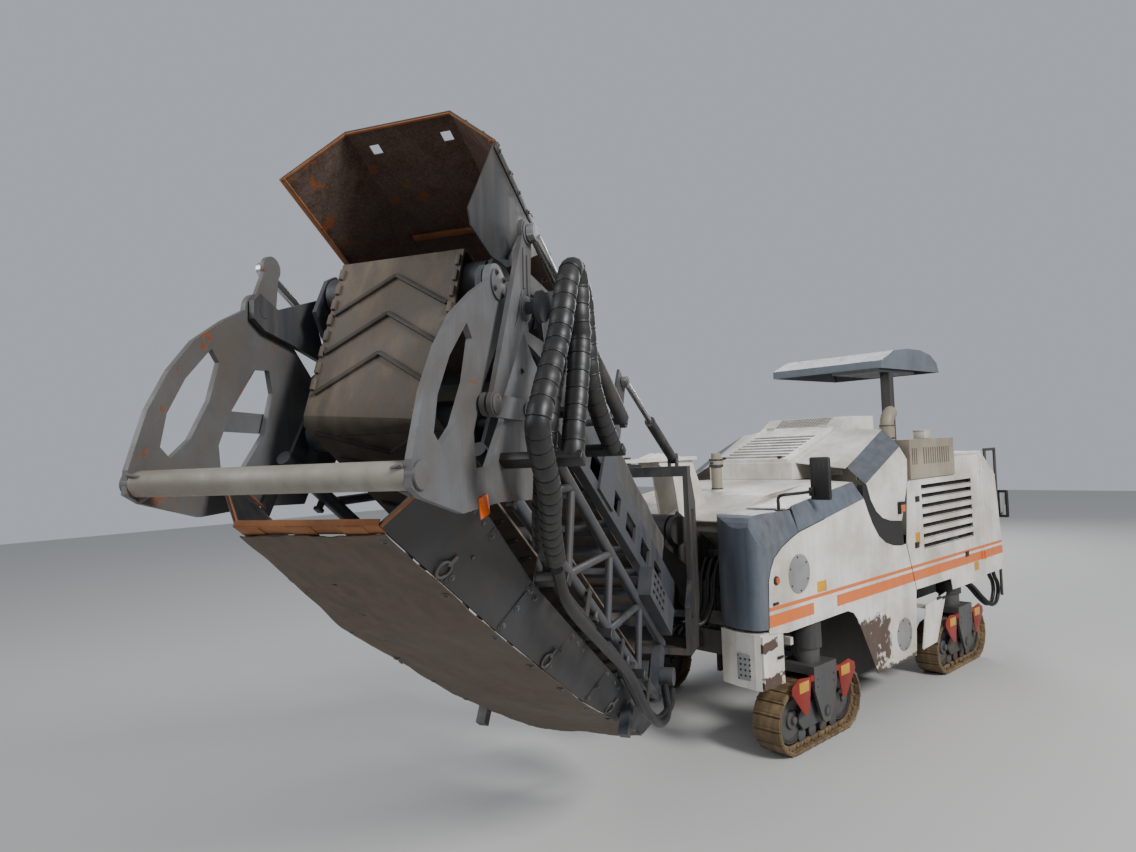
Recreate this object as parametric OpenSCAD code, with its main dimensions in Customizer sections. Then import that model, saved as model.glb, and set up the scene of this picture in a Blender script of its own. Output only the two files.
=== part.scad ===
// Cold planer milling machine on four tracks, with a folding discharge conveyor.
// X runs forward to the conveyor, Y to the machine's left, Z up, millimetres.
// The origin is on the ground, midway between the four steering columns.

/* [Body] */
// outer width over the side panels
body_w = 2200; // [1900:10:2500]
// height of the operator's floor
floor_z = 1480; // [1300:10:1700]
// top of the engine hood
hood_z = 2340; // [2100:10:2500]
// thickness of sheet panels
sheet = 8; // [5:1:12]

/* [Tracks] */
// half distance between front and rear columns
axle_x = 1490; // [1300:10:1700]
// sideways place of the track centre line
track_y = 960; // [850:10:1100]
// overall length of a track
track_l = 1330; // [1100:10:1500]
// overall height of a track
track_h = 550; // [450:10:650]
// width of a track shoe
track_w = 260; // [200:10:320]

/* [Milling drum] */
// diameter over the cutting tools
drum_d = 980; // [800:10:1100]
// cutting width
drum_w = 1000; // [800:10:1100]
// height of the drum centre above the ground
drum_z = 620; // [560:5:750]

/* [Conveyor] */
// forward place of the slewing axis
slew_x = 2600; // [2450:10:2800]
// angle to which the conveyor is slewed to the left
slew_deg = 28; // [-60:1:60]
// horizontal reach from the slewing axis to the fold axis
fold_u = 3840; // [3400:10:4200]
// height of the fold axis
fold_w = 3180; // [2900:10:3400]
// slope of the inner half
inner_el = 31; // [20:1:40]
// slope of the folded outer half
outer_el = 34; // [25:1:45]
// length of the inner half behind the fold axis
inner_l = 4150; // [3600:10:4400]
// length of the outer half beyond the fold axis
outer_l = 3550; // [3000:10:3800]
// width of the rubber belt
belt_w = 600; // [500:10:700]
// half width over the conveyor side plates
conv_hw = 420; // [380:5:480]

/* [Canopy] */
// length of the canopy roof
canopy_l = 1600; // [1300:10:1900]
// width of the canopy roof
canopy_w = 1450; // [1100:10:1700]
// height of the roof's edge
canopy_z = 3350; // [3000:10:3500]

/* [Hidden] */
hy = body_w / 2;
track_r = track_h / 2;
loop_t = 62;
leg_fork = track_w / 2 + 15;
// gap between parts that are bolted together
fit = 0.3;
col_r = 106;
// columns: x side, y side
CORNERS = [
  ["front_left",   1,  1],
  ["front_right",  1, -1],
  ["rear_left",   -1,  1],
  ["rear_right",  -1, -1]
];
// lever pivot, rod pin and link pins in the conveyor's own planes
truss_e = 750;
truss_p = 750;
// places of the hangers that carry the side plates
HANGERS = [400, 1000, 1700, 2400, 3100];
lever_a = [-150, 0];
rod_t = [-30, 285];
link_l = [-83, -487];
link_d = [400, 300];
cyl_eye = [-1450, 300];
pivot_e = -3950;
pivot_n = 100;
plat_x0 = -2790;
plat_x1 = -1120;
plat_y = 220;
bar_e = -130;
bar_n = 920;
lift_foot = [300, 2440];
lift_head = [-1980, 940];
inner_belt_n = 360;
outer_belt_n = 430;

c_white = [0.90, 0.89, 0.85];
c_grey = [0.36, 0.40, 0.45];
c_dark = [0.16, 0.17, 0.18];
c_steel = [0.50, 0.52, 0.53];
c_rust = [0.36, 0.18, 0.10];
c_canvas = [0.33, 0.29, 0.25];
c_rubber = [0.08, 0.08, 0.08];
c_belt = [0.35, 0.31, 0.27];
c_shoe = [0.42, 0.32, 0.16];
c_tan = [0.72, 0.66, 0.52];

// Part to show

// flat plate drawn in X-Z, standing at y0 .. y0+t
module xz(y0, t) {
  translate([0, y0 + t, 0]) rotate([90, 0, 0]) linear_extrude(t) children();
}
// the same plate on both sides of the centre plane
module both_y() {
  children();
  mirror([0, 1, 0]) children();
}
// round bar along Y, from y0 to y1
module bar_y(x, z, r, y0, y1) {
  translate([x, y0, z]) rotate([-90, 0, 0]) cylinder(r = r, h = y1 - y0, $fn = 48);
}
// round bar between two points of the X-Z plane at one y
module strut(a, b, y, r) {
  d = [b[0] - a[0], b[1] - a[1]];
  translate([a[0], y, a[1]]) rotate([0, atan2(d[0], d[1]), 0])
    cylinder(r = r, h = norm(d), $fn = 32);
}
// rounded slot shape between two points
module link_2d(a, b, r) {
  d = [b[0] - a[0], b[1] - a[1]];
  translate(a) circle(r = r, $fn = 48);
  translate(b) circle(r = r, $fn = 48);
  translate(a) rotate(atan2(d[1], d[0])) translate([0, -r]) square([norm(d), 2 * r]);
}
// straight bar of half width w between two points
module bar_2d(a, b, w) {
  d = [b[0] - a[0], b[1] - a[1]];
  translate(a) rotate(atan2(d[1], d[0])) translate([0, -w]) square([norm(d), 2 * w]);
}
// frame of the slewed conveyor: x is u, y is v, z is height
module at_slew() {
  translate([slew_x, 0, 0]) rotate([0, 0, slew_deg]) children();
}
// frame of the inner half: origin on the fold axis
module at_inner() {
  at_slew() translate([fold_u, 0, fold_w]) rotate([0, -inner_el, 0]) children();
}
// frame of the outer half: origin on the fold axis, folded back underneath
module at_outer() {
  at_slew() translate([fold_u, 0, fold_w]) rotate([0, 180 - outer_el, 0]) children();
}
// a point of the inner half in the slewed frame
function inner_pt(p) = [
  fold_u + p[0] * cos(inner_el) - p[1] * sin(inner_el),
  fold_w + p[0] * sin(inner_el) + p[1] * cos(inner_el)];

module main_frame() color(c_dark) {
  both_y() xz(620, 30) polygon([[-2700, 900], [-2700, 1060], [2080, 1060], [2080, 700],
    [900, 700], [760, 640], [-760, 640], [-1000, 700], [-2400, 700]]);
  for (x = [-2600, -1850, 1850]) translate([x - 40, -621, 760]) cube([80, 1242, 120]);
  translate([1210, -621, 700]) cube([80, 1242, 60]);
  // front cross wall behind the conveyor, open in the middle
  both_y() translate([1990, 350.3, 880]) cube([40, 271, 780]);
  // lower bearing lug of the slewing frame
  translate([0, 0, 800]) linear_extrude(118) difference() {
    polygon([[2060, -330], [2500, -110], [slew_x + 20, -95], [slew_x + 95, -60],
      [slew_x + 95, 60], [slew_x + 20, 95], [2500, 110], [2060, 330]]);
    translate([slew_x, 0]) circle(r = 36, $fn = 48);
  }
  translate([2040, -621, 760]) cube([40, 1242, 200]);
}
module column_guides() color(c_dark) {
  for (c = CORNERS) translate([c[1] * axle_x, c[2] * track_y, 0]) {
    difference() {
      translate([0, 0, 790]) cylinder(r = 128, h = 640, $fn = 64);
      translate([0, 0, 780]) cylinder(r = col_r + 0.3, h = 630, $fn = 64);
    }
    translate([-90, c[2] > 0 ? -310 : 120, 880]) cube([180, 190, 160]);
  }
}

// side panel outline with the wheel arch, X-Z
module side_outline() {
  polygon([[2240, 1075], [2216, 1446], [2180, 1540], [2127, 1618], [2010, 1692], [1858, 1752],
    [1743, 1788], [615, 1984], [540, 1850], [471, 1741], [360, 1615], [228, 1537], [60, 1490],
    [-107, 1471], [-205, 1478], [-376, 1000], [-310, 360], [511, 363], [841, 921],
    [905, 985], [1010, 1020], [1980, 1010], [2240, 1045]]);
}
module side_panel() {
  difference() {
    xz(hy - sheet, sheet) side_outline();
    bar_y(1770, 1450, 166, hy - 20, hy + 20);
    bar_y(-70, 610, 164, hy - 20, hy + 20);
  }
  // round access plates, seated in their holes
  bar_y(1770, 1450, 167, hy - sheet - 4, hy - sheet + 2);
  bar_y(-70, 610, 165, hy - sheet - 4, hy - sheet + 2);
  // inner stiffener ties the panel to the frame
  for (x = [120, 1900]) translate([x, 650, 900]) cube([40, hy - 650 - sheet - fit, 60]);
  // skirt flap in front of the rear track
  xz(hy - sheet, sheet) polygon([[-450, 380], [-580, 812], [-1090, 868], [-800, 400]]);
  translate([-640, 650, 770]) cube([40, hy - 650 - sheet - fit, 40]);
}
module side_panels() color(c_white) both_y() side_panel();

// curved front corners: rounded in plan, rolled over at the top, leaning in at the side
corner_top = 1970;
module corner_plan(o) {
  intersection() {
    translate([1960, 930]) circle(r = 400 - o, $fn = 128);
    translate([1960, 640 + o]) square([500, 350 - o]);
  }
  translate([2245.5, 990]) circle(r = 110 - o, $fn = 96);
  translate([2050, 990]) square([195.5, hy - 990 - o]);
  translate([1752 - 10 * o, 640 + o]) square([2235 - 1752 + 9 * o, 350 - o]);
  translate([1752 - 10 * o, 980]) square([310 + 10 * o, hy - 980 - o]);
}
module corner_body(o) {
  difference() {
    intersection() {
      translate([0, 0, 1080 - o]) linear_extrude(corner_top - 1080) corner_plan(o);
      xz(600, 520) polygon([[1600, 1000], [2380, 1000], [2372 - o, 1820], [2362 - o, 1868 - o],
        [2335 - o, 1914 - o], [2290 - o, 1948 - o], [2230, 1966 - o], [2150, corner_top - o],
        [1600, corner_top - o]]);
    }
    translate([1752, hy, 1790]) rotate([0, 8.8, 0]) rotate([22.5, 0, 0])
      translate([-200, -o, -2]) cube([900, 300, 500]);
  }
}
module front_corner_covers() color(c_grey) both_y() difference() {
  corner_body(0);
  corner_body(sheet);
  // room for the white side panel, up to a seam
  xz(hy - sheet - 0.5, 40) polygon([[1700, 1000], [2240.6, 1000], [2240.6, 1075],
    [2216.6, 1446.2], [2180.6, 1540.4], [2127.4, 1618.6], [2010.3, 1692.7], [1858.2, 1752.6],
    [1743.2, 1788.6], [1700, 1797]]);
  // open towards the machine
  translate([1700, 600, 1000]) cube([290, 300, 955]);
}
module front_lower_boxes() color(c_white) both_y() {
  difference() {
    translate([0, 0, 625]) linear_extrude(430) polygon([[2040, hy - sheet - 0.3], [2355, hy - sheet - 0.3],
      [2365, 1040], [2350, 860], [2310, 690], [2040, 690]]);
    translate([0, 0, 634]) linear_extrude(412) polygon([[2030, hy - 14], [2345, hy - 14],
      [2355, 1036], [2340, 864], [2302, 700], [2030, 700]]);
  }
}

// white front deck: low planes that fall to a valley at the filler pipe
deck_a = [2090, 1890];
deck_b = [1500, 2070];
deck_c = [645, 2160];
function deck_z(x) = x > deck_b[0]
  ? deck_a[1] + (deck_a[0] - x) * (deck_b[1] - deck_a[1]) / (deck_a[0] - deck_b[0])
  : deck_b[1] + (deck_b[0] - x) * (deck_c[1] - deck_b[1]) / (deck_b[0] - deck_c[0]);
module front_deck() color(c_white) {
  xz(-630, 1260) polygon([deck_a, deck_b, deck_c, [645, 2150], [1500, 2060], [2090, 1880]]);
  both_y() hull() {
    translate([1780, 620, deck_z(1780) - 10]) cube([10, 20, 10]);
    translate([645, 620, 2150]) cube([10, 20, 10]);
    translate([1770, 1000, 1976]) cube([10, 4, 10]);
    translate([645, 1000, 2128]) cube([10, 4, 10]);
  }
  // tank under the deck, above the collecting conveyor
  xz(-610, 1220) polygon([[700, 930], [700, 2145], [1500, 2062], [1900, 1945], [1900, 1770]]);
  // seat of the filler pipe
  translate([1300, -40, 2080]) cylinder(r = 64, h = 24, $fn = 48);
}
// grey shoulders over the side panels
module shoulder_bands() color(c_grey) both_y() hull() {
  translate([1743, hy - 7, 1789]) cube([6, 6, 6]);
  translate([618, hy - 7, 1985]) cube([6, 6, 6]);
  translate([1700, 1006, 1996]) cube([6, 6, 6]);
  translate([645, 1006, 2134]) cube([6, 6, 6]);
}
// body of the front hood; the louvred lid closes its top
module hood_body() color(c_white) {
  difference() {
    xz(-620, 1000) polygon([[640, 2162], [640, 2326], [-345, 2664], [-560, 2790], [-1110, 2790],
      [-1110, 2348], [-345, 2348], [-345, 2162]]);
    xz(-612, 984) polygon([[632, 2150], [632, 2320], [-345, 2655], [-560, 2782], [-1102, 2782],
      [-1102, 2330], [-337, 2340], [-337, 2150]]);
    translate([-285, -515, 2100]) cube([860, 790, 700]);
    // vent on top of the raised part
    for (i = [0:4]) translate([-1000 + i * 80, -400, 2770]) cube([50, 560, 40]);
  }
  for (s = [[1, 380], [-1, 620]]) hull() {
    translate([560, s[0] * s[1] - 4, 2322]) cube([6, 8, 10]);
    translate([-345, s[0] * s[1] - 4, 2646]) cube([6, 8, 10]);
    translate([460, s[0] * 848 - 4, 2256]) cube([6, 8, 10]);
    translate([-335, s[0] * 848 - 4, 2612]) cube([6, 8, 10]);
  }
}
// louvred lid, hinged at its back edge
function lid_z(x) = 2326 + (640 - x) * 338 / 985 + 0.4;
lid_hinge = [-314, lid_z(-314) + 38];
module louvred_hood() color(c_white) {
  difference() {
    xz(-560, 880) polygon([[612, lid_z(612)], [612, lid_z(612) + 30], [-330, lid_z(-330) + 30],
      [-330, lid_z(-330)]]);
    for (i = [0:7]) translate([480 - i * 95, -500, 2300]) rotate([0, 25, 0])
      cube([52, 760, 520]);
  }
  // hinge knuckles on top of the back edge
  for (y = [-500, 160]) bar_y(lid_hinge[0], lid_hinge[1], 13, y, y + 100);
}
module conveyor_support_arm() color(c_white) {
  translate([0, 0, 2412]) linear_extrude(30) difference() {
    polygon([[1860, -170], [2300, -150], [slew_x + 20, -90], [slew_x + 90, -50],
      [slew_x + 90, 50], [slew_x + 20, 90], [2300, 150], [1860, 170]]);
    translate([slew_x, 0]) circle(r = 31, $fn = 48);
  }
  both_y() xz(110, 14) polygon([[1700, deck_z(1700) + 0.3], [1880, 2412], [2330, 2412],
    [2330, 2385], [2150, 2270], [2080, deck_z(2080) + 0.3]]);
  both_y() xz(34, 12) polygon([[1900, 2442], [2250, 2486], [2420, 2442]]);
}
module filler_pipe() color(c_tan) {
  translate([1300, -40, 2104]) {
    cylinder(r = 52, h = 240, $fn = 48);
    translate([0, 0, 240]) cylinder(r = 66, h = 60, $fn = 48);
    translate([0, 0, 300]) cylinder(r = 46, h = 50, $fn = 48);
  }
}

module platform_shields() color(c_white) both_y() {
  xz(hy - sheet, sheet) polygon([[544, 2115], [476, 1961], [380, 1850], [261, 1777],
    [100, 1735], [-41, 1722], [-136, 1713], [-300, 2080], [-320, 2313], [-172, 2436]]);
  // grey shoulder between the side and the top of the hood
  hull() {
    translate([544, hy - sheet, 2115]) cube([6, sheet, 6]);
    translate([-172, hy - sheet, 2436]) cube([6, sheet, 6]);
    translate([420, 852.3, 2262]) cube([6, 6, 6]);
    translate([-335, 852.3, 2616]) cube([6, 6, 6]);
  }
  // rear edge of the shield
  translate([-314, 900, 2100]) cube([8, hy - 904, 208]);
}
module entry_channels() color(c_rubber) both_y() {
  xz(hy - 62, 53.7) polygon([[610, 2112], [610, 1950], [471, 1716], [228, 1512], [-107, 1446],
    [-180, 1475], [-150, 1725], [-41, 1747], [261, 1802], [460, 1975], [530, 2112]]);
}
module operator_platform() color(c_steel) {
  translate([plat_x0, sheet + fit - hy, floor_z - 40])
    cube([plat_x1 - plat_x0, hy - sheet - fit + plat_y, 40]);
  for (x = [-2630, -1880]) {
    translate([x, 150, 880]) cube([60, 60, floor_z - 920 - fit]);
    translate([x, -660, 1060]) cube([60, 60, floor_z - 1100 - fit]);
  }
  // side wall and rail
  translate([plat_x0, -hy, 880]) cube([plat_x1 - plat_x0, sheet, 1070]);
  for (x = [plat_x0 + 20, -1950, plat_x1 - 60]) translate([x, -1072, floor_z + fit])
    cylinder(r = 17, h = 880, $fn = 32);
  translate([plat_x0 + 3, -1072, floor_z + 880]) rotate([0, 90, 0])
    cylinder(r = 17, h = plat_x1 - plat_x0 - 46, $fn = 32);
  // ladder at the rear
  for (y = [-760, -340]) translate([plat_x0 - 46, y, 420]) cube([46 - fit, 40, floor_z - 425]);
  for (z = [480:250:1300]) bar_y(plat_x0 - 23, z, 15, -725, -335);
}
module control_console() color(c_dark) {
  xz(-1000, 1150) polygon([[-1122, floor_z], [-1122, 2440], [-1200, 2460], [-1420, 2360],
    [-1440, 2290], [-1240, 2250], [-1220, floor_z]]);
}
module operator_seat() color(c_rubber) {
  translate([-2150, -620, floor_z]) cylinder(r = 60, h = 300, $fn = 48);
  translate([-2370, -840, floor_z + 290]) cube([440, 440, 110]);
  translate([-2390, -830, floor_z + 400]) cube([100, 420, 430]);
}

module engine_hood() color(c_white) {
  difference() {
    union() {
      // left bay, and the cross bay in front of the operator
      xz(plat_y + 10, hy - plat_y - 10) polygon([[-345, 1480], [-345, 2105], [-1440, 2105],
        [-1450, hood_z], [-2240, hood_z], [-2660, 2050], [-2820, 900], [-345, 900]]);
      xz(-hy, body_w) polygon([[-345, 900], [-345, 2105], [-1110, 2105], [-1110, 900]]);
      xz(-hy, hy + 540) polygon([[-345, 2100], [-345, hood_z], [-1110, hood_z], [-1110, 2100]]);
    }
    xz(plat_y + 18, hy - plat_y - 18 - sheet) polygon([[-337, 1000], [-353, 2097], [-1448, 2097],
      [-1458, hood_z - 8], [-2237, hood_z - 8], [-2653, 2046], [-2812, 890], [-300, 890]]);
    xz(-hy + sheet, body_w - 2 * sheet) polygon([[-353, 890], [-353, 2097], [-1102, 2097],
      [-1102, 890]]);
    xz(-hy + sheet, hy + 540 - 2 * sheet) polygon([[-353, 2080], [-353, hood_z - 8],
      [-1102, hood_z - 8], [-1102, 2080]]);
    translate([-420, -660, 880]) cube([90, 1320, 316]);
    translate([-1125, -660, 880]) cube([30, 1320, 185]);
    // side openings for the engine doors
    xz(hy - 40, 60) polygon([[-100, 860], [-100, 2100], [-1458, 2100], [-1458, 2312],
      [-2195, 2312], [-2195, 860]]);
    xz(-hy - 10, 60) polygon([[-100, 860], [-100, 2100], [-1085, 2100], [-1085, 860]]);
  }
  // floor rails that carry the hood
  for (y = [650, 350]) translate([-2810, y, 1000]) cube([600, 60, 60]);
}
module engine_block() color(c_steel) {
  translate([-2350, plat_y + 30, 1060]) cube([1200, 550, 900]);
}
module door_outline() {
  difference() {
    polygon([[-348, 2096], [-1465, 2096], [-1465, 2308], [-2190, 2308], [-2190, 867],
      [-1271, 867], [-1240, 990], [-392, 1000], [-222, 1478], [-305, 2080]]);
    for (z = [1404, 1507, 1610, 1712, 1813, 1917, 2010])
      translate([-1930, z - 26]) square([1320, 52]);
  }
}
module left_engine_door() color(c_white) {
  xz(hy - sheet, sheet) door_outline();
  // hinge knuckles on the rear edge
  for (z = [1080, 2100]) translate([-2198, hy + 14.3, z]) cylinder(r = 14, h = 110, $fn = 32);
  for (z = [1080, 2100]) translate([-2188, hy - 4, z]) cube([60, 14, 110]);
}
module right_engine_door() color(c_white) mirror([0, 1, 0]) {
  xz(hy - sheet, sheet) difference() {
    polygon([[-348, 2096], [-1080, 2096], [-1080, 1000], [-392, 1000], [-222, 1478],
      [-305, 2080]]);
    for (z = [1404, 1610, 1813]) translate([-980, z - 26]) square([560, 52]);
  }
  for (z = [1080, 1960]) translate([-1088, hy + 14.3, z]) cylinder(r = 14, h = 90, $fn = 32);
  for (z = [1080, 1960]) translate([-1083, hy - 4, z]) cube([60, 14, 90]);
}
module heat_shield_box() color(c_tan) difference() {
  translate([-1440, 560, 2108]) cube([1090, 560, 400]);
  translate([-1432, 568, 2100]) cube([1074, 544, 400]);
  for (i = [0:2]) translate([-420 - i * 46, 500, 2250]) cube([20, 700, 170]);
  for (i = [0:11]) translate([-690 - i * 56, 500, 2250]) cube([22, 700, 170]);
}
module exhaust_elbow() color(c_tan) {
  translate([-560, 800, 2508.3]) cylinder(r = 76, h = 170, $fn = 48);
  translate([-700, 800, 2667]) rotate([90, 0, 0]) rotate_extrude(angle = 75, $fn = 64)
    translate([140, 0]) difference() {
      circle(r = 70, $fn = 48);
      circle(r = 62, $fn = 48);
    }
}
module rear_handrail() color(c_dark) {
  translate([-2860, hy - 60, 560]) cylinder(r = 17, h = 1800, $fn = 32);
  translate([-2860, hy - 60, 2343]) rotate([0, 90, 0]) cylinder(r = 17, h = 330, $fn = 32);
  translate([-2547, hy - 60, 2140.4]) cylinder(r = 17, h = 219, $fn = 32);
  for (z = [950, 1500, 1950]) translate([-2860, hy - 60, z]) rotate([0, 90, 0])
    cylinder(r = 12, h = 38 + (z - 900) * 0.139, $fn = 32);
}
module canopy_mast() color(c_dark) {
  translate([-1720, 250, hood_z]) cube([110, 110, canopy_z - hood_z - 40]);
  translate([-1800, 236, hood_z]) cube([400, 300, 14]);
  translate([-2300, -200, canopy_z - 40]) cube([1000, 560, 40]);
}
module canopy_roof() color(c_grey) {
  translate([-2950, -1050, canopy_z]) roof_shell();
}
module roof_shell() {
  difference() {
    roof_solid(0);
    roof_solid(9);
  }
}
module roof_solid(o) {
  // arched roof: front low and thin, higher at the back
  translate([0, canopy_w - o, 0]) rotate([90, 0, 0]) linear_extrude(canopy_w - 2 * o) polygon([
    [o, o > 0 ? -1 : 0], [60 + o, 120 - o], [240, 215 - o], [520, 262 - o], [900, 262 - o],
    [1250, 225 - o], [canopy_l - o, 90 - o], [canopy_l - o, o > 0 ? -1 : 0]]);
}
module mirrors() color(c_dark) {
  // front mirror, its arm stands on the corner cover
  translate([1400, 1040, 2030]) cube([45, 190, 370]);
  translate([1440, 1060, 2104]) rotate([0, 90, 0]) cylinder(r = 14, h = 414, $fn = 32);
  translate([1840, 980, corner_top]) cylinder(r = 14, h = 148, $fn = 32);
  bar_y(1840, 2104, 14, 975, 1065);
  // rear mirror on the handrail
  translate([-2925, hy - 110, 1500]) cube([40, 170, 340]);
  translate([-2886, hy - 75, 1640]) cube([8.7, 30, 60]);
}

module drum_housing() color(c_dark) {
  both_y() xz(560, 40) polygon([[-700, 130], [-700, 700], [-420, 1180], [420, 1180], [700, 700],
    [700, 130]]);
  both_y() translate([-100, 600, 800]) cube([200, 20, 120]);
  translate([-430, -561, 1150]) cube([860, 1122, 30]);
  // front plate with the mouth to the collecting conveyor
  difference() {
    xz(-561, 1122) polygon([[700, 420], [700, 700], [420, 1180], [400, 1150], [670, 690],
      [670, 420]]);
    translate([380, -300, 480]) cube([400, 600, 420]);
  }
  // rear plate above the scraper
  xz(-561, 1122) polygon([[-420, 1180], [-400, 1150], [-520, 960], [-545, 968]]);
}
module milling_drum() color(c_steel) {
  bar_y(0, drum_z, 380, -drum_w / 2, drum_w / 2);
  // tool holders in two helices
  for (i = [0:27]) rotate([0, 0, 0]) translate([0, -470 + i * 34.8, drum_z])
    rotate([0, i * 51, 0]) translate([370, -24, -30]) cube([drum_d / 2 - 370, 48, 60]);
  bar_y(0, drum_z, 110, -559.7, 559.7);
}
module scraper_blade() color(c_dark) {
  xz(-550, 1100) polygon([[-640, 120], [-676, 120], [-690, 300], [-660, 640], [-600, 900],
    [-570, 895], [-625, 640], [-648, 300]]);
  bar_y(-590, 900, 24, -559.7, 559.7);
}
module collecting_conveyor() color(c_dark) {
  translate([2420, 0, 1850]) rotate([0, -35.3, 0]) {
    both_y() translate([-2030, 330, -190]) cube([2080, 20, 330]);
    translate([-2030, -331, -190]) cube([2080, 662, 14]);
    translate([-2030, -331, 60]) cube([2000, 662, 16]);
    bar_y(0, -10, 125, -331, 331);
    both_y() bar_y(0, -10, 120, 348, 400);
  }
}

module leg(sx, sy) translate([sx * axle_x, sy * track_y, 0]) {
  translate([0, 0, 640]) cylinder(r = col_r, h = 760, $fn = 64);
  translate([-180, -leg_fork - 25, 600]) cube([360, 2 * leg_fork + 50, 70]);
  both_y() xz(leg_fork, 25) difference() {
    polygon([[-180, 650], [-180, 480], [-95, 270], [-70, 215], [-25, 185], [25, 185],
      [70, 215], [95, 270], [180, 480], [180, 650]]);
    translate([0, 275]) circle(r = 26, $fn = 48);
  }
  bar_y(0, 275, 25.7, -leg_fork - 32, leg_fork + 32);
}
// fixed loop of shoes with its frame and rollers inside
module track(sx, sy) translate([sx * axle_x, sy * track_y, 0]) {
  a = track_l / 2 - track_r;
  xz(-track_w / 2 + 8, track_w - 16) difference() {
    link_2d([-a, track_r], [a, track_r], track_r - 22);
    link_2d([-a, track_r], [a, track_r], track_r - loop_t);
  }
  // shoes: one plate per pitch along the flats and round the ends
  n = 7;
  for (i = [0:n - 1]) for (z = [0, track_h - 24])
    translate([-a + (i + 0.5) * 2 * a / n - 52, -track_w / 2, z]) cube([104, track_w, 24]);
  for (s = [-1, 1]) for (k = [-2:2])
    translate([s * a, 0, track_r]) rotate([0, s > 0 ? -k * 36 : 180 - k * 36, 0])
      translate([track_r - 32, -track_w / 2, -62]) cube([24, track_w, 124]);
  // frame with idler, sprocket and rollers, fixed in the loop
  xz(-70, 140) difference() {
    link_2d([-a + 150, track_r], [a - 150, track_r], 105);
    translate([0, track_r]) circle(r = 26, $fn = 48);
  }
  for (s = [-1, 1]) bar_y(s * a, track_r, track_r - loop_t + 0.5, -90, 90);
  for (x = [-250, -85, 85, 250]) bar_y(x, loop_t + 55, 56, -80, 80);
}
module front_left_leg() color(c_steel) leg(1, 1);
module front_left_track() color(c_shoe) track(1, 1);
module front_right_leg() color(c_steel) leg(1, -1);
module front_right_track() color(c_shoe) track(1, -1);
module rear_left_leg() color(c_steel) leg(-1, 1);
module rear_left_track() color(c_shoe) track(-1, 1);
module rear_right_leg() color(c_steel) leg(-1, -1);
module rear_right_track() color(c_shoe) track(-1, -1);

piv = inner_pt([pivot_e, pivot_n]);
head = inner_pt(lift_head);

module slew_frame() color(c_dark) at_slew() {
  // base plate on the lower bearing
  translate([0, 0, 930]) linear_extrude(50)
    polygon([[-190, -120], [-120, -190], [180, -580], [piv[0] + 90, -580], [piv[0] + 90, 580],
      [180, 580], [-120, 190], [-190, 120]]);
  translate([0, 0, 800]) cylinder(r = 35, h = 140, $fn = 48);
  // cheeks that carry the inner half
  both_y() xz(540, 40) difference() {
    polygon([[180, 970], [piv[0] + 90, 970], [piv[0] + 90, piv[1] + 60],
      [350, piv[1] + 250], [350, 2310], [220, 2310], [60, 2080], [60, 1300]]);
    polygon([[150, 1640], [250, 1640], [250, 2030], [150, 2030]]);
  }
  both_y() bar_y(piv[0], piv[1], 30, conv_hw - 19.5, 590);
  // top beam and upper pin
  translate([220, -580, 2300]) cube([130, 1160, 80]);
  translate([0, 0, 2370]) linear_extrude(30)
    polygon([[-60, -60], [60, -90], [230, -180], [230, 180], [60, 90], [-60, 60]]);
  translate([0, 0, 2380]) cylinder(r = 30, h = 80, $fn = 48);
  // lugs of the lift cylinders
  for (v = [-460, 460]) for (s = [-36, 24]) xz(v + s, 12) {
    translate(lift_foot) circle(r = 45, $fn = 48);
    translate([lift_foot[0] - 45, 2375]) square([90, lift_foot[1] - 2375]);
  }
  for (v = [-460, 460]) bar_y(lift_foot[0], lift_foot[1], 19.5, v - 36, v + 36);
}
module inner_conveyor_frame() color(c_grey) at_inner() {
  both_y() {
    difference() {
      xz(conv_hw - 20, 20) polygon([[-inner_l, 60], [-inner_l, 360], [-200, 360], [-160, 300],
        [-160, 120], [-260, 60]]);
      bar_y(pivot_e, pivot_n, 30.4, 300, 500);
      for (x = [-3500:400:-900]) translate([x, 390, 136]) cube([240, 40, 124]);
    }
    translate([-3880, conv_hw - 60, 66]) cube([3580, 41, 30]);
    // plate that carries the fold pin, with its diamond opening
    xz(505, 25) difference() {
      polygon([[-820, 120], [-820, 330], [-560, 430], [-300, 330], [-80, 80], [-60, 60],
        [60, 50], [75, 0], [40, -66], [-40, -70], [-200, -20], [-500, 60]]);
      polygon([[-560, 160], [-420, 300], [-260, 200], [-400, 90]]);
    }
    for (x = [-760, -620]) translate([x, conv_hw - 2, 180]) cube([60, 90, 60]);
    // outboard plate that holds the lever's pivot
    bar_y(-550, 400, 30, 404, 700);
    translate([-600, conv_hw - 20, 340]) cube([100, 20, 95]);
    xz(680, 20) {
      translate([-550, 400]) circle(r = 66, $fn = 48);
      translate(lever_a) circle(r = 62, $fn = 48);
      bar_2d([-550, 400], lever_a, 50);
    }
    bar_y(lever_a[0], lever_a[1], 24.5, 603, 690);
    // trunnion of the fold cylinder
    bar_y(cyl_eye[0], cyl_eye[1], 20, conv_hw - 5, 672);
    // bracket of the lift cylinder
    xz(conv_hw, 16) polygon([[-2120, 90], [-2060, lift_head[1] + 45], [-1900, lift_head[1] + 45],
      [-1820, 90]]);
    // fold pin
    bar_y(0, 0, 30, 503, 570);
  }
  // cross members and rollers
  cross_hw = conv_hw - 60 - fit;
  for (x = [-3560:400:-760]) translate([x, -cross_hw, 74]) cube([50, 2 * cross_hw, 50]);
  for (q = [[-inner_l + 130, 253, 92.7], [-240, 262, 83.7]]) {
    bar_y(q[0], q[1], q[2], -388, 388);
    bar_y(q[0], q[1], 22, fit - conv_hw + 20, conv_hw - 20 - fit);
  }
}
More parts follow.
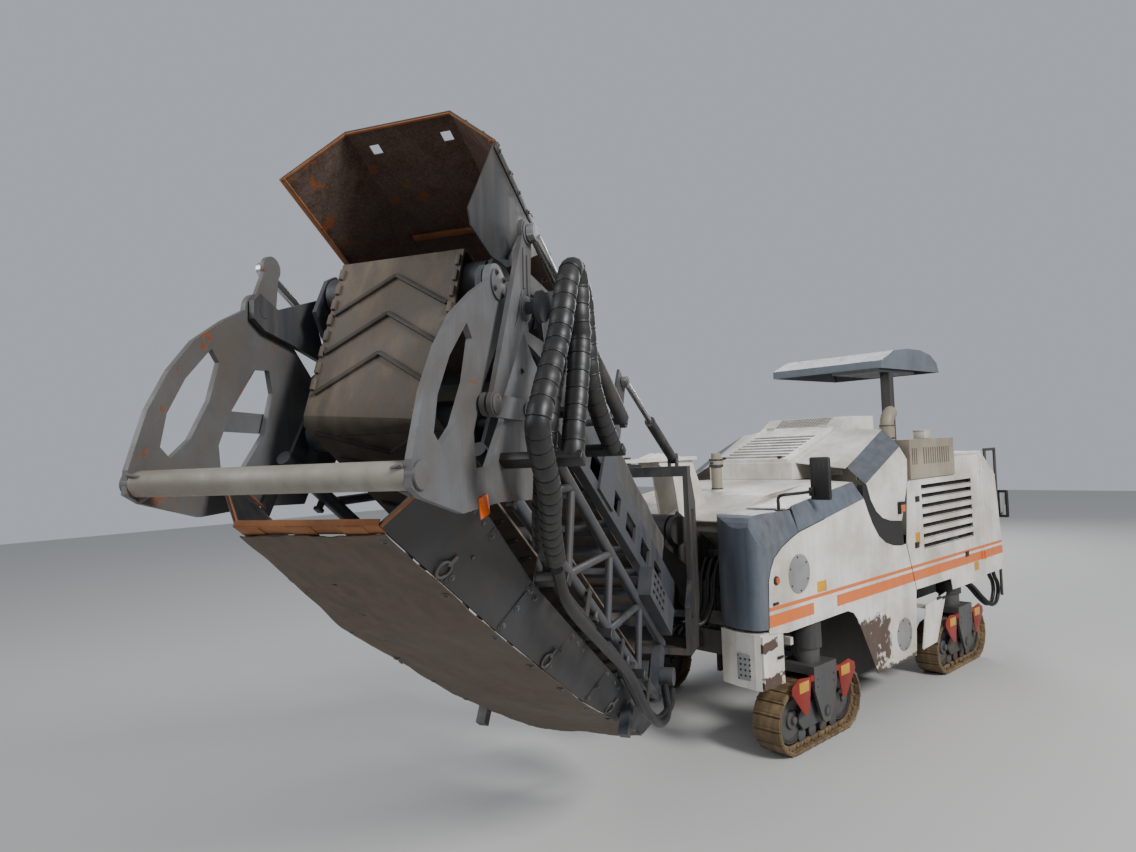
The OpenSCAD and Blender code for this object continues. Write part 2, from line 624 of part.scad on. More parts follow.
module inner_conveyor_belt() color(c_belt) at_inner() {
  translate([-inner_l + 130, -belt_w / 2, inner_belt_n - 14]) cube([inner_l - 366, belt_w, 14]);
  translate([-inner_l + 130, -belt_w / 2, 146]) cube([inner_l - 500, belt_w, 14]);
  translate([-inner_l + 130, 0, 0]) xz(-belt_w / 2, belt_w) difference() {
    translate([0, 253]) circle(r = 107, $fn = 64);
    translate([0, 253]) circle(r = 93, $fn = 64);
    translate([0, 100]) square([200, 300]);
  }
}
// a point of the folded outer half in the slewed frame
function outer_pt(p) = [
  fold_u - p[0] * cos(outer_el) + p[1] * sin(outer_el),
  fold_w - p[0] * sin(outer_el) - p[1] * cos(outer_el)];
module fold_belt() color(c_belt) at_slew() xz(-belt_w / 2, belt_w) polygon([
  inner_pt([-230, inner_belt_n]), inner_pt([-140, inner_belt_n]), inner_pt([-112, 336]),
  outer_pt([222, 392]), outer_pt([248, outer_belt_n]), outer_pt([324, outer_belt_n]),
  outer_pt([324, outer_belt_n - 14]), outer_pt([256, outer_belt_n - 14]), outer_pt([236, 384]),
  inner_pt([-126, 330]), inner_pt([-146, inner_belt_n - 14]), inner_pt([-230, inner_belt_n - 14])]);
module inner_steel_hood() color(c_rust) at_inner() {
  difference() {
    translate([200, 0, 0]) rotate([0, -90, 0]) rotate([0, 0, -90]) linear_extrude(1450)
      difference() {
        polygon([[-520, 590], [-262, 840], [262, 840], [520, 590]]);
        polygon([[-514, 588], [-259, 834], [259, 834], [514, 588]]);
      }
    for (y = [-190, 170]) translate([60, y, 700]) cube([50, 50, 300]);
  }
  // posts down to the side frames
  for (x = [-1150, -692]) both_y() {
    translate([x, conv_hw + 0.2, 180]) cube([60, 8, 440]);
    translate([x, conv_hw + 0.2, 590]) cube([60, 96, 8]);
  }
}
module inner_canvas_cover() color(c_canvas) at_inner() {
  translate([-1262, 0, 0]) rotate([0, -90, 0]) rotate([0, 0, -90]) linear_extrude(inner_l - 1880)
    difference() {
      polygon([[-414, 360.3], [-414, 560], [-262, 780], [262, 780], [414, 560], [414, 360.3]]);
      polygon([[-408, 300], [-408, 558], [-259, 774], [259, 774], [408, 558], [408, 300]]);
    }
}
module along(a, b, y) {
  d = [b[0] - a[0], b[1] - a[1]];
  translate([a[0], y, a[1]]) rotate([0, atan2(d[0], d[1]), 0]) children();
}
lift_len = norm([head[0] - lift_foot[0], head[1] - lift_foot[1]]);
fold_len = norm([rod_t[0] - cyl_eye[0], rod_t[1] - cyl_eye[1]]);
module eye(r_out, r_in, t) {
  rotate([90, 0, 0]) translate([0, 0, -t / 2]) difference() {
    cylinder(r = r_out, h = t, $fn = 48);
    translate([0, 0, -1]) cylinder(r = r_in, h = t + 2, $fn = 48);
  }
}
module lift_cylinder_barrels() color(c_dark) at_slew() {
  for (v = [-460, 460]) along(lift_foot, head, v) {
    eye(38, 20, 40);
    translate([-15, -20, 30]) cube([30, 40, 36]);
    difference() {
      translate([0, 0, 62]) cylinder(r = 38, h = 730, $fn = 48);
      translate([0, 0, 120]) cylinder(r = 20.4, h = lift_len, $fn = 48);
    }
  }
}
module lift_cylinder_rods() color(c_steel) at_slew() {
  for (v = [-460, 460]) along(lift_foot, head, v) {
    translate([0, 0, 250]) cylinder(r = 20, h = lift_len - 280, $fn = 48);
    translate([0, 0, lift_len]) rotate([90, 0, 0]) {
      translate([0, 0, -18]) cylinder(r = 36, h = 36, $fn = 48);
      translate([0, 0, -23.5]) cylinder(r = 20, h = 47, $fn = 48);
    }
  }
}
module fold_cylinder_barrels() color(c_dark) at_inner() {
  both_y() along(cyl_eye, rod_t, 650) {
    eye(38, 20.4, 30);
    difference() {
      translate([0, 0, 30]) cylinder(r = 38, h = 850, $fn = 48);
      translate([0, 0, 100]) cylinder(r = 22.4, h = 900, $fn = 48);
    }
  }
}
module fold_cylinder_rods() color(c_steel) at_inner() {
  both_y() along(cyl_eye, rod_t, 650) {
    translate([0, 0, 600]) cylinder(r = 22, h = fold_len - 630, $fn = 48);
    translate([0, 0, fold_len]) rotate([90, 0, 0]) translate([0, 0, -15])
      cylinder(r = 36, h = 30, $fn = 48);
  }
}
module fold_levers() color(c_steel) at_inner() {
  both_y() xz(605, 20) difference() {
    union() {
      for (q = [[rod_t, 55], [lever_a, 58], [link_l, 45]])
        translate(q[0]) circle(r = q[1], $fn = 48);
      bar_2d(rod_t, link_l, 36);
      bar_2d(rod_t, lever_a, 44);
      bar_2d(lever_a, link_l, 34);
    }
    translate(lever_a) circle(r = 24.9, $fn = 48);
  }
}
// the link lies in the outer half's frame
function to_outer(p) = let (q = [p[0] * cos(inner_el) - p[1] * sin(inner_el),
    p[0] * sin(inner_el) + p[1] * cos(inner_el)])
  [-q[0] * cos(outer_el) - q[1] * sin(outer_el), q[0] * sin(outer_el) - q[1] * cos(outer_el)];
module fold_links() color(c_steel) at_outer() {
  both_y() xz(576, 20) difference() {
    link_2d(to_outer(link_l), link_d, 42);
    translate(link_d) circle(r = 25.4, $fn = 48);
  }
}
module outer_conveyor_frame() color(c_grey) at_outer() {
  both_y() {
    strut([360, 80], [outer_l, 80], 450, 32);
    strut([360, 500], [outer_l, 470], 450, 32);
    for (a = [truss_e:truss_p:outer_l - truss_p]) {
      strut([a, 490], [a + truss_p * 0.8, 80], 450, 22);
      strut([a + truss_p * 0.8, 80], [a + truss_p, 490], 450, 22);
    }
    // gusset and spacers that carry the arm plate, and seats of the side plates
    xz(440, 16) polygon([[540, 60], [660, 60], [660, 510], [540, 510]]);
    // bearing plate of the front drum
    xz(440, 16) polygon([[385, 70], [475, 70], [475, 500], [385, 500]]);
    for (z = [110, 420]) bar_y(600, z, 28, 452, 540);
    for (x = HANGERS) translate([x, 450, 480]) cube([50, 44, 12]);
    // head plates with the end drum
    xz(conv_hw - 20, 62) polygon([[outer_l - 60, 40], [outer_l + 80, 120], [outer_l + 80, 440],
      [outer_l - 60, 520]]);
    // stub feet that rest on a support when the conveyor is laid down
    translate([2760, 430, 490]) cube([70, 60, 430]);
  }
  for (x = [700:550:outer_l - 200])
    translate([x, fit - 418, 60]) cube([50, 836 - 2 * fit, 40]);
  // slotted guard over the belt's tensioner
  translate([2700, 470, -120]) difference() {
    cube([700, 88, 195]);
    for (i = [0:3]) for (j = [0:2]) translate([60 + i * 90, 74, 18 + j * 54]) cube([60, 20, 26]);
  }
  // drive motor of the belt
  bar_y(outer_l, 316, 62, 461, 560);
  bar_y(outer_l, 316, 99.7, -388, 388);
  bar_y(outer_l, 316, 22, fit - conv_hw + 20, conv_hw - 20 - fit);
  bar_y(430, outer_belt_n - 98, 83.7, -388, 388);
  bar_y(430, outer_belt_n - 98, 22, fit - 440, 440 - fit);
}
module outer_arm_plates() color(c_steel) at_outer() {
  both_y() {
    difference() {
      xz(540, 25) difference() {
        union() {
          polygon([[-62, 40], [-130, 160], [-205, 330], [-235, 500], [-235, 680], [-205, 830],
            [-190, 900], [-150, 975], [-80, 970], [180, 880], [420, 700], [680, 540],
            [680, 40], [420, 20], [60, -60], [-50, -50]]);
          circle(r = 78, $fn = 48);
        }
        circle(r = 30.4, $fn = 48);
        translate([bar_e, bar_n]) circle(r = 40, $fn = 48);
        // two teardrop cut-outs
        polygon([[-120, 300], [-160, 480], [-160, 640], [-120, 760], [-60, 770], [-20, 660],
          [-20, 480], [-60, 320]]);
        polygon([[110, 220], [90, 420], [110, 600], [190, 700], [270, 640], [300, 420],
          [250, 240], [180, 170]]);
      }
    }
    bar_y(link_d[0], link_d[1], 25, 541, 600);
  }
  // cross bar between the plates
  bar_y(bar_e, bar_n, 44.5, -575, 575);
}
module outer_conveyor_belt() color(c_belt) at_outer() {
  translate([330, -belt_w / 2, outer_belt_n - 14]) cube([outer_l - 330, belt_w, 14]);
  translate([430, -belt_w / 2, 202]) cube([outer_l - 430, belt_w, 14]);
  // wrap of the belt round the end drum
  xz(-belt_w / 2, belt_w) difference() {
    translate([outer_l, 316]) circle(r = 114, $fn = 64);
    translate([outer_l, 316]) circle(r = 100, $fn = 64);
    translate([outer_l - 200, 100]) square([200, 400]);
  }
}
// hose through a row of points
module hose(pts, r) {
  for (i = [0:len(pts) - 2]) hull() {
    translate(pts[i]) sphere(r = r, $fn = 16);
    translate(pts[i + 1]) sphere(r = r, $fn = 16);
  }
}
// the two hoses round the fold: e, v, n on the inner half, then on the outer half
FOLD_A = [[[-190, 850, -60], [-120, 850, 70], [-53, 850, 85], [-25, 850, 0], [-35, 850, -249], [0, 850, -524]],
  [[60, 840, 650], [350, 780, 700], [600, 700, 708], [850, 640, 720]]];
FOLD_B = [[[-1037, 750, -115], [-804, 750, -83], [-629, 750, -20], [-514, 750, 110], [-414, 750, 235],
  [-330, 750, 265], [-275, 750, 180], [-262, 750, -20], [-236, 750, -290]],
  [[290, 750, 480], [500, 690, 590], [680, 630, 640], [850, 575, 660]]];
hose_r = 46;
run_r = 26;
module fold_hoses() color(c_rubber) at_slew() {
  for (t = [FOLD_A, FOLD_B]) hose(concat(
    t == FOLD_A ? [for (q = FOLD_A_START) let (p = outer_pt([q[0], q[2]])) [p[0], q[1], p[1]]] : [],
    [for (q = t[0]) let (p = inner_pt([q[0], q[2]])) [p[0], q[1], p[1]]],
    [for (q = t[1]) let (p = outer_pt([q[0], q[2]])) [p[0], q[1], p[1]]]), hose_r);
  // clamp on the arm plate, and bracket on the side of the inner half
  translate([fold_u, 0, fold_w]) rotate([0, 180 - outer_el, 0])
    translate([330, 565 + fit, 540]) cube([60, 320, 36]);
  translate([fold_u, 0, fold_w]) rotate([0, -inner_el, 0]) {
    translate([-1090, conv_hw + fit, 100]) cube([60, 96, 30]);
    translate([-1090, 500, -130]) cube([60, 16, 260]);
    translate([-1090, 500, -130]) cube([60, 300, 36]);
  }
}
// first points of the outer hose, on the outer half
FOLD_A_START = [[370, 850, 556], [330, 850, 440], [300, 850, 309], [238, 850, 104]];
// the same hoses along the outer half, with the slack loop at its end: e, v, n
RUN_A = [[924, 626, 735], [1150, 620, 800], [1670, 620, 775], [2180, 620, 745], [2580, 620, 795],
  [2850, 615, 800], [3130, 600, 745], [3400, 570, 600], [3515, 510, 397.5]];
RUN_B = [[924, 560, 672], [1200, 545, 700], [1700, 545, 690], [2200, 545, 665], [2600, 545, 720],
  [2900, 550, 745], [3200, 560, 700], [3480, 565, 540], [3585, 545, 397.5]];
module conveyor_hoses() color(c_rubber) at_outer() {
  for (t = [RUN_A, RUN_B]) hose(t, run_r);
  // clamps on the hangers
  for (e = [1000, 1700, 2400]) translate([e, 500 + fit, foot_n(e) - 60]) cube([50, 150, 50]);
}
// hoses between the front wall and the slewing frame: y at the wall, lowest z of the loop
SLEW_HOSES = [[430, 1180], [500, 1090], [566, 1250]];
module slew_hoses() color(c_rubber) {
  for (q = SLEW_HOSES) hose([[2052.5, q[0], 1560], [2130, q[0], 1570], [2215, q[0] + 5, 1430],
    [2250, q[0] + 5, q[1]], [2330, q[0] - 30, 1085], [2440, q[0] - 70, 1070],
    [2505, q[0] - 110, 1050], [2520, q[0] - 130, 1002.5]], 22);
}
module rear_hoses() color(c_rubber) {
  for (y = [930, 985]) hose([[-2745, y, 890], [-2790, y, 800], [-2880, y, 700], [-2890, y, 580],
    [-2800, y, 480], [-2660, y - 10, 470], [-2560, y - 60, 560], [-2500, y - 150, 700],
    [-2440, y - 230, 760]], 24);
  translate([-2470, 650.3, 735]) cube([60, 110, 50]);
}
// stations of the folded cover: e, n at the foot of the slope, v and n at its top
COVER = [
  [120, 700, 290, 950],
  [1000, 765, 372, 972],
  [2200, 722, 382, 900],
  [outer_l - 120, 620, 400, 740]
];
function foot_n(e) = lookup(e, [for (q = COVER) [q[0], q[1]]]);
module outer_side_plates() color(c_dark) at_outer() {
  both_y() {
    // hangers on the truss
    for (e = HANGERS) translate([e, 494, 470]) cube([60, 6, foot_n(e) - 468]);
    difference() {
      for (i = [0:2]) hull() for (q = [COVER[i], COVER[i + 1]]) {
        translate([q[0], 494, q[1]]) cube([4, 6, 6]);
        translate([q[0], q[2], q[3]]) cube([4, 6, 6]);
      }
      // notch round the stub foot
      translate([2759, 429, 560]) cube([72, 62, 320]);
    }
  }
  // bent lip of the mouth, and cross strips under the tarpaulin
  translate([116, -296, 946]) cube([47, 592, 8]);
  for (i = [1:3]) translate([COVER[i][0] - 32, -COVER[i][2] - 5, COVER[i][3] - 2])
    cube([34, 2 * COVER[i][2] + 10, 6]);
}
module outer_canvas_cover() color(c_canvas) at_outer() {
  for (i = [0:2]) hull() for (q = [COVER[i], COVER[i + 1]])
    translate([max(160, q[0]), -q[2] + 8, q[3] + (q[0] > 3000 ? 6.3 : 5.2)])
      cube([4, 2 * q[2] - 16, 5]);
}

main_frame();
column_guides();
side_panels();
front_corner_covers();
front_lower_boxes();
front_deck();
shoulder_bands();
hood_body();
louvred_hood();
conveyor_support_arm();
filler_pipe();
platform_shields();
entry_channels();
operator_platform();
control_console();
operator_seat();
engine_hood();
engine_block();
left_engine_door();
right_engine_door();
heat_shield_box();
exhaust_elbow();
rear_handrail();
canopy_mast();
canopy_roof();
mirrors();
drum_housing();
milling_drum();
scraper_blade();
collecting_conveyor();
front_left_leg();
front_left_track();
front_right_leg();
front_right_track();
rear_left_leg();
rear_left_track();
rear_right_leg();
rear_right_track();
slew_frame();
inner_conveyor_frame();
inner_conveyor_belt();
fold_belt();
inner_steel_hood();
inner_canvas_cover();
lift_cylinder_barrels();
lift_cylinder_rods();
fold_cylinder_barrels();
fold_cylinder_rods();
fold_levers();
fold_links();
outer_conveyor_frame();
outer_arm_plates();
outer_conveyor_belt();
outer_side_plates();
outer_canvas_cover();
fold_hoses();
conveyor_hoses();
slew_hoses();
rear_hoses();
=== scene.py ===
import bpy
from contextlib import contextmanager
from math import radians, sin, cos, pi, hypot, atan2
from mathutils import Matrix, Vector, noise


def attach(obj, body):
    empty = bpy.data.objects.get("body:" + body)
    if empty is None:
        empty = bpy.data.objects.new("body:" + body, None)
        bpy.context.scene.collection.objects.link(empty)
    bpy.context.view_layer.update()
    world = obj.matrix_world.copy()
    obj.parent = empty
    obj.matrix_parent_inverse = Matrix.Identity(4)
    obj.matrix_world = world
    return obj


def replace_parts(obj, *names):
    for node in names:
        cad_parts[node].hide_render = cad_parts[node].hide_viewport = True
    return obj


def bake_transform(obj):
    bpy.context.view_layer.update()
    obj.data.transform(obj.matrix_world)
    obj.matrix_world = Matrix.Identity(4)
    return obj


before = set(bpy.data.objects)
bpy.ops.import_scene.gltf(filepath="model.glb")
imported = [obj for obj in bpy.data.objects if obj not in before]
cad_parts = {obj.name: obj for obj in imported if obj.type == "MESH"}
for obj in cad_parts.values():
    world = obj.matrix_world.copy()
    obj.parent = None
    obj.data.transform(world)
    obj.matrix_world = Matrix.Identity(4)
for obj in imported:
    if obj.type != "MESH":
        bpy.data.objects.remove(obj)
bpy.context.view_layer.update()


# places and turns
def turned(angle, axis):
    return Matrix.Rotation(angle, 4, axis)


def at(x, y, z, turn=Matrix.Identity(4), base=Matrix.Identity(4)):
    return base @ Matrix.Translation((x, y, z)) @ turn


def axesFrame(x, y, z):
    return Matrix((x, y, z)).transposed().to_4x4()


def frameAt(origin, ahead, up):
    # x ahead and z up, at a point
    x = Vector(ahead).normalized()
    y = Vector(up).cross(x).normalized()
    return at(*origin, axesFrame(x, y, x.cross(y)))


def intoScene(obj):
    bpy.context.scene.collection.objects.link(obj)
    return obj


# camera at the place the photo was taken from
cameraFacts = {"place": (7.542, 4.634, 2.547), "yaw": 47.34, "pitch": 1.73, "roll": -2.37,
               "focal": 788.0, "imageWidth": 1136.0, "sensor": 36, "far": 200}


def makeCamera(facts):
    yaw, pitch, roll = (radians(facts[k]) for k in ("yaw", "pitch", "roll"))
    ahead = Vector((-cos(yaw), -sin(yaw), 0))
    right = Vector((ahead.y, -ahead.x, 0))
    up = Vector((0, 0, 1))
    look = ahead * cos(pitch) + up * sin(pitch)
    tall = up * cos(pitch) - ahead * sin(pitch)
    wide = right * cos(roll) + tall * sin(roll)
    tall = tall * cos(roll) - right * sin(roll)
    camera = intoScene(bpy.data.objects.new("camera", bpy.data.cameras.new("camera")))
    camera.matrix_world = at(*facts["place"], axesFrame(wide, tall, -look))
    camera.data.sensor_width = facts["sensor"]
    camera.data.lens = facts["sensor"] * facts["focal"] / facts["imageWidth"]
    camera.data.clip_end = facts["far"]
    bpy.context.scene.camera = camera


makeCamera(cameraFacts)

# frames of the conveyor and of its halves, as they are stored
conveyorFacts = {"slewPlace": (2.6, 0, 0), "slew": radians(28), "foldPlace": (3.84, 0, 3.18),
                 "innerTilt": radians(-31), "outerTilt": radians(146)}
slewed = at(*conveyorFacts["slewPlace"], turned(conveyorFacts["slew"], "Z"))
foldPlace = slewed @ at(*conveyorFacts["foldPlace"])
innerHalf = foldPlace @ turned(conveyorFacts["innerTilt"], "Y")
outerHalf = foldPlace @ turned(conveyorFacts["outerTilt"], "Y")
print("camera and frames ready")


# small helpers for nodes
def feed(tree, socket, value):
    if isinstance(value, bpy.types.NodeSocket):
        tree.links.new(value, socket)
    else:
        socket.default_value = value


def math(tree, kind, a, b, clamp=False):
    node = tree.nodes.new("ShaderNodeMath")
    node.operation = kind
    node.use_clamp = clamp
    feed(tree, node.inputs[0], a)
    feed(tree, node.inputs[1], b)
    return node.outputs[0]


def operators(tree):
    def operator(kind):
        return lambda a, b: math(tree, kind, a, b)
    return (operator(kind) for kind in ("ADD", "SUBTRACT", "MULTIPLY", "MAXIMUM"))


def ramp(tree, value, low, high):
    node = tree.nodes.new("ShaderNodeMapRange")
    node.interpolation_type = "SMOOTHSTEP"
    for name, x in (("Value", value), ("From Min", low), ("From Max", high), ("To Min", 0.0), ("To Max", 1.0)):
        feed(tree, node.inputs[name], x)
    return node.outputs[0]


def mixColor(tree, factor, a, b, blend="MIX"):
    node = tree.nodes.new("ShaderNodeMix")
    node.data_type = "RGBA"
    node.blend_type = blend
    feed(tree, node.inputs[0], factor)
    for i, x in ((6, a), (7, b)):
        feed(tree, node.inputs[i], x if isinstance(x, bpy.types.NodeSocket) else (*x[:3], 1))
    return node.outputs[2]


def noiseAt(tree, vector, scale, detail, rough, stretch=(1, 1, 1)):
    mapping = tree.nodes.new("ShaderNodeMapping")
    mapping.inputs["Scale"].default_value = stretch
    tree.links.new(vector, mapping.inputs["Vector"])
    node = tree.nodes.new("ShaderNodeTexNoise")
    for name, x in (("Vector", mapping.outputs[0]), ("Scale", scale), ("Detail", detail), ("Roughness", rough)):
        feed(tree, node.inputs[name], x)
    return node.outputs["Fac"]


def newGroup(name, inputs, outputs):
    group = bpy.data.node_groups.new(name, "ShaderNodeTree")
    for label, kind, value in inputs:
        socket = group.interface.new_socket(name=label, in_out="INPUT", socket_type=kind)
        socket.default_value = value
    for label, kind in outputs:
        group.interface.new_socket(name=label, in_out="OUTPUT", socket_type=kind)
    start = group.nodes.new("NodeGroupInput")
    end = group.nodes.new("NodeGroupOutput")
    place = group.nodes.new("ShaderNodeTexCoord").outputs["Object"]
    return group, start.outputs, end.inputs, place


colorSocket, floatSocket = "NodeSocketColor", "NodeSocketFloat"

# paint with chips down to another colour, dust and streaks that run down
# each noise: scale, detail, roughness
weatherFacts = {"broad": (1.7, 5, 0.6), "chips": (13.0, 9, 0.65), "fine": (90.0, 4, 0.6), "streaks": (9.0, 5, 0.6),
                "runDown": (1.6, 1.6, 0.16), "leastWear": 0.86, "wearReach": 0.36, "chipEdge": 0.035,
                "dustFrom": 0.38, "dustTo": 0.68, "shadeFrom": 0.35, "shadeTo": 0.7, "fineDust": 0.10,
                "roughening": 0.42, "grain": 0.25, "chipDepth": 0.6,
                "deepPaint": (0.60, 0.57, 0.53), "deepUnder": (0.40, 0.32, 0.28)}


def makeWeathering(facts):
    group, given, out, place = newGroup("weathering", [
        ("Paint", colorSocket, (1, 1, 1, 1)), ("Under", colorSocket, (0.2, 0.08, 0.04, 1)),
        ("Dust", colorSocket, (0.4, 0.35, 0.28, 1)), ("Wear", floatSocket, 0.3),
        ("Grime", floatSocket, 0.3), ("Gloss", floatSocket, 0.4)],
        [("Color", colorSocket), ("Roughness", floatSocket), ("Height", floatSocket)])
    plus, minus, times, most = operators(group)
    broad, chips, fine = (noiseAt(group, place, *facts[name]) for name in ("broad", "chips", "fine"))
    streaks = noiseAt(group, place, *facts["streaks"], facts["runDown"])
    edge = plus(chips, times(minus(broad, 0.5), 0.7))
    limit = minus(facts["leastWear"], times(given["Wear"], facts["wearReach"]))
    worn = ramp(group, edge, limit, plus(limit, facts["chipEdge"]))
    dusty = ramp(group, plus(times(streaks, 0.6), times(broad, 0.4)), facts["dustFrom"], facts["dustTo"])
    dusty = times(dusty, given["Grime"])
    deep = mixColor(group, 1.0, given["Paint"], facts["deepPaint"], "MULTIPLY")
    blotches, specks = (ramp(group, noisy, facts["shadeFrom"], facts["shadeTo"]) for noisy in (broad, fine))
    shade = mixColor(group, blotches, given["Paint"], deep)
    shade = mixColor(group, times(specks, facts["fineDust"]), shade, given["Dust"])
    shade = mixColor(group, dusty, shade, given["Dust"])
    deep = mixColor(group, 1.0, given["Under"], facts["deepUnder"], "MULTIPLY")
    under = mixColor(group, fine, given["Under"], deep)
    group.links.new(mixColor(group, worn, shade, under), out["Color"])
    rough = math(group, "ADD", given["Gloss"], times(most(worn, dusty), facts["roughening"]), clamp=True)
    group.links.new(rough, out["Roughness"])
    group.links.new(minus(times(fine, facts["grain"]), times(worn, facts["chipDepth"])), out["Height"])
    return group


# orange lines along the side, and the torn patch of the skirt, by their limits in x and z
markFacts = {"side": 1.09, "wide": (1.088, 1.186), "gap": (1.19, 1.57), "thin": (1.214, 1.246),
             "run": (-2.79, 2.235), "ragged": (5.5, 8, 0.62), "patchX": (0.22, 0.26), "patchZ": (0.90, 0.86),
             "footZ": (0.40, 0.385), "flapZ": (0.715, 0.915, 1.0), "boxX": 1.9, "cornerX": 2.12, "torn": (0.40, 0.44),
             "sway": 0.5, "footSway": 0.55, "flapSway": 0.4}


def makeSideMarks(facts):
    group, _, out, place = newGroup("sideMarks", [], [("Stripes", floatSocket), ("Peeled", floatSocket)])
    plus, minus, times, most = operators(group)
    split = group.nodes.new("ShaderNodeSeparateXYZ")
    group.links.new(place, split.inputs[0])
    x, y, z = split.outputs

    def above(value, limit):
        return math(group, "GREATER_THAN", value, limit)

    def band(value, low, high):
        return times(above(value, low), math(group, "LESS_THAN", value, high))
    side = above(math(group, "ABSOLUTE", y, 0.5), facts["side"])
    # the wide stripe is broken once, near the front of both sides
    wide = times(band(z, *facts["wide"]), minus(1.0, band(x, *facts["gap"])))
    lines = most(wide, band(z, *facts["thin"]))
    group.links.new(times(times(lines, side), band(x, *facts["run"])), out["Stripes"])
    ragged = noiseAt(group, place, *facts["ragged"])
    shift = times(minus(ragged, 0.5), facts["sway"])
    patch = times(ramp(group, plus(x, shift), *facts["patchX"]), ramp(group, plus(z, shift), *facts["patchZ"]))
    foot = ramp(group, plus(z, times(shift, facts["footSway"])), *facts["footZ"])
    # the flap of the front box keeps its paint half way up
    low, middle, high = facts["flapZ"]
    height = plus(z, times(shift, facts["flapSway"]))
    kept = most(band(height, low, middle), above(height, high))
    patch = times(patch, minus(1.0, times(kept, above(x, facts["boxX"]))))
    patch = most(patch, times(band(height, middle, high), above(x, facts["cornerX"])))
    patch = times(most(patch, foot), above(y, facts["side"]))
    group.links.new(times(patch, ramp(group, ragged, *facts["torn"])), out["Peeled"])
    return group


weathering, sideMarks = makeWeathering(weatherFacts), makeSideMarks(markFacts)
stripeOrange, peeledBrown, stripeFade, bumpHeight = (0.64, 0.125, 0.0), (0.075, 0.045, 0.03), 0.06, 0.004


def startMaterial(name):
    material = bpy.data.materials.new(name)
    material.use_nodes = True
    tree = material.node_tree
    return material, tree, tree.nodes["Principled BSDF"]


def groupNode(tree, group, **values):
    node = tree.nodes.new("ShaderNodeGroup")
    node.node_tree = group
    for label, value in values.items():
        node.inputs[label].default_value = value
    return node.outputs


def paintMaterial(name, paint, under, dust, wear, grime, gloss, metal=0.0, bump=0.25, marks=False, inside=None):
    material, tree, shader = startMaterial(name)
    worn = groupNode(tree, weathering, Paint=(*paint, 1), Under=(*under, 1), Dust=(*dust, 1),
                     Wear=wear, Grime=grime, Gloss=gloss)
    color = worn["Color"]
    if marks:
        lines = groupNode(tree, sideMarks)
        color = mixColor(tree, lines["Stripes"], color, mixColor(tree, stripeFade, stripeOrange, color))
        color = mixColor(tree, lines["Peeled"], color, peeledBrown)
    if inside:
        # the face that looks down has another colour
        normal = tree.nodes.new("ShaderNodeTexCoord").outputs["Normal"]
        dot = tree.nodes.new("ShaderNodeVectorMath")
        dot.operation = "DOT_PRODUCT"
        tree.links.new(normal, dot.inputs[0])
        dot.inputs[1].default_value = inside["up"]
        facing = math(tree, "LESS_THAN", dot.outputs["Value"], inside.get("below", -0.02))
        other = groupNode(tree, weathering, Paint=(*inside["paint"], 1), Under=(*inside["under"], 1),
                          Wear=inside["wear"], Grime=0.1, Gloss=0.7)
        color = mixColor(tree, facing, color, other["Color"])
    tree.links.new(color, shader.inputs["Base Color"])
    tree.links.new(worn["Roughness"], shader.inputs["Roughness"])
    shader.inputs["Metallic"].default_value = metal
    raised = tree.nodes.new("ShaderNodeBump")
    for label, value in (("Strength", bump), ("Distance", bumpHeight), ("Height", worn["Height"])):
        feed(tree, raised.inputs[label], value)
    tree.links.new(raised.outputs[0], shader.inputs["Normal"])
    return material


offWhite, blueGrey, brown = (0.76, 0.73, 0.665), (0.085, 0.103, 0.132), (0.16, 0.09, 0.05)
primer, paleDust, greyDust, black = (0.16, 0.07, 0.035), (0.36, 0.32, 0.26), (0.22, 0.22, 0.22), (0.020, 0.022, 0.025)
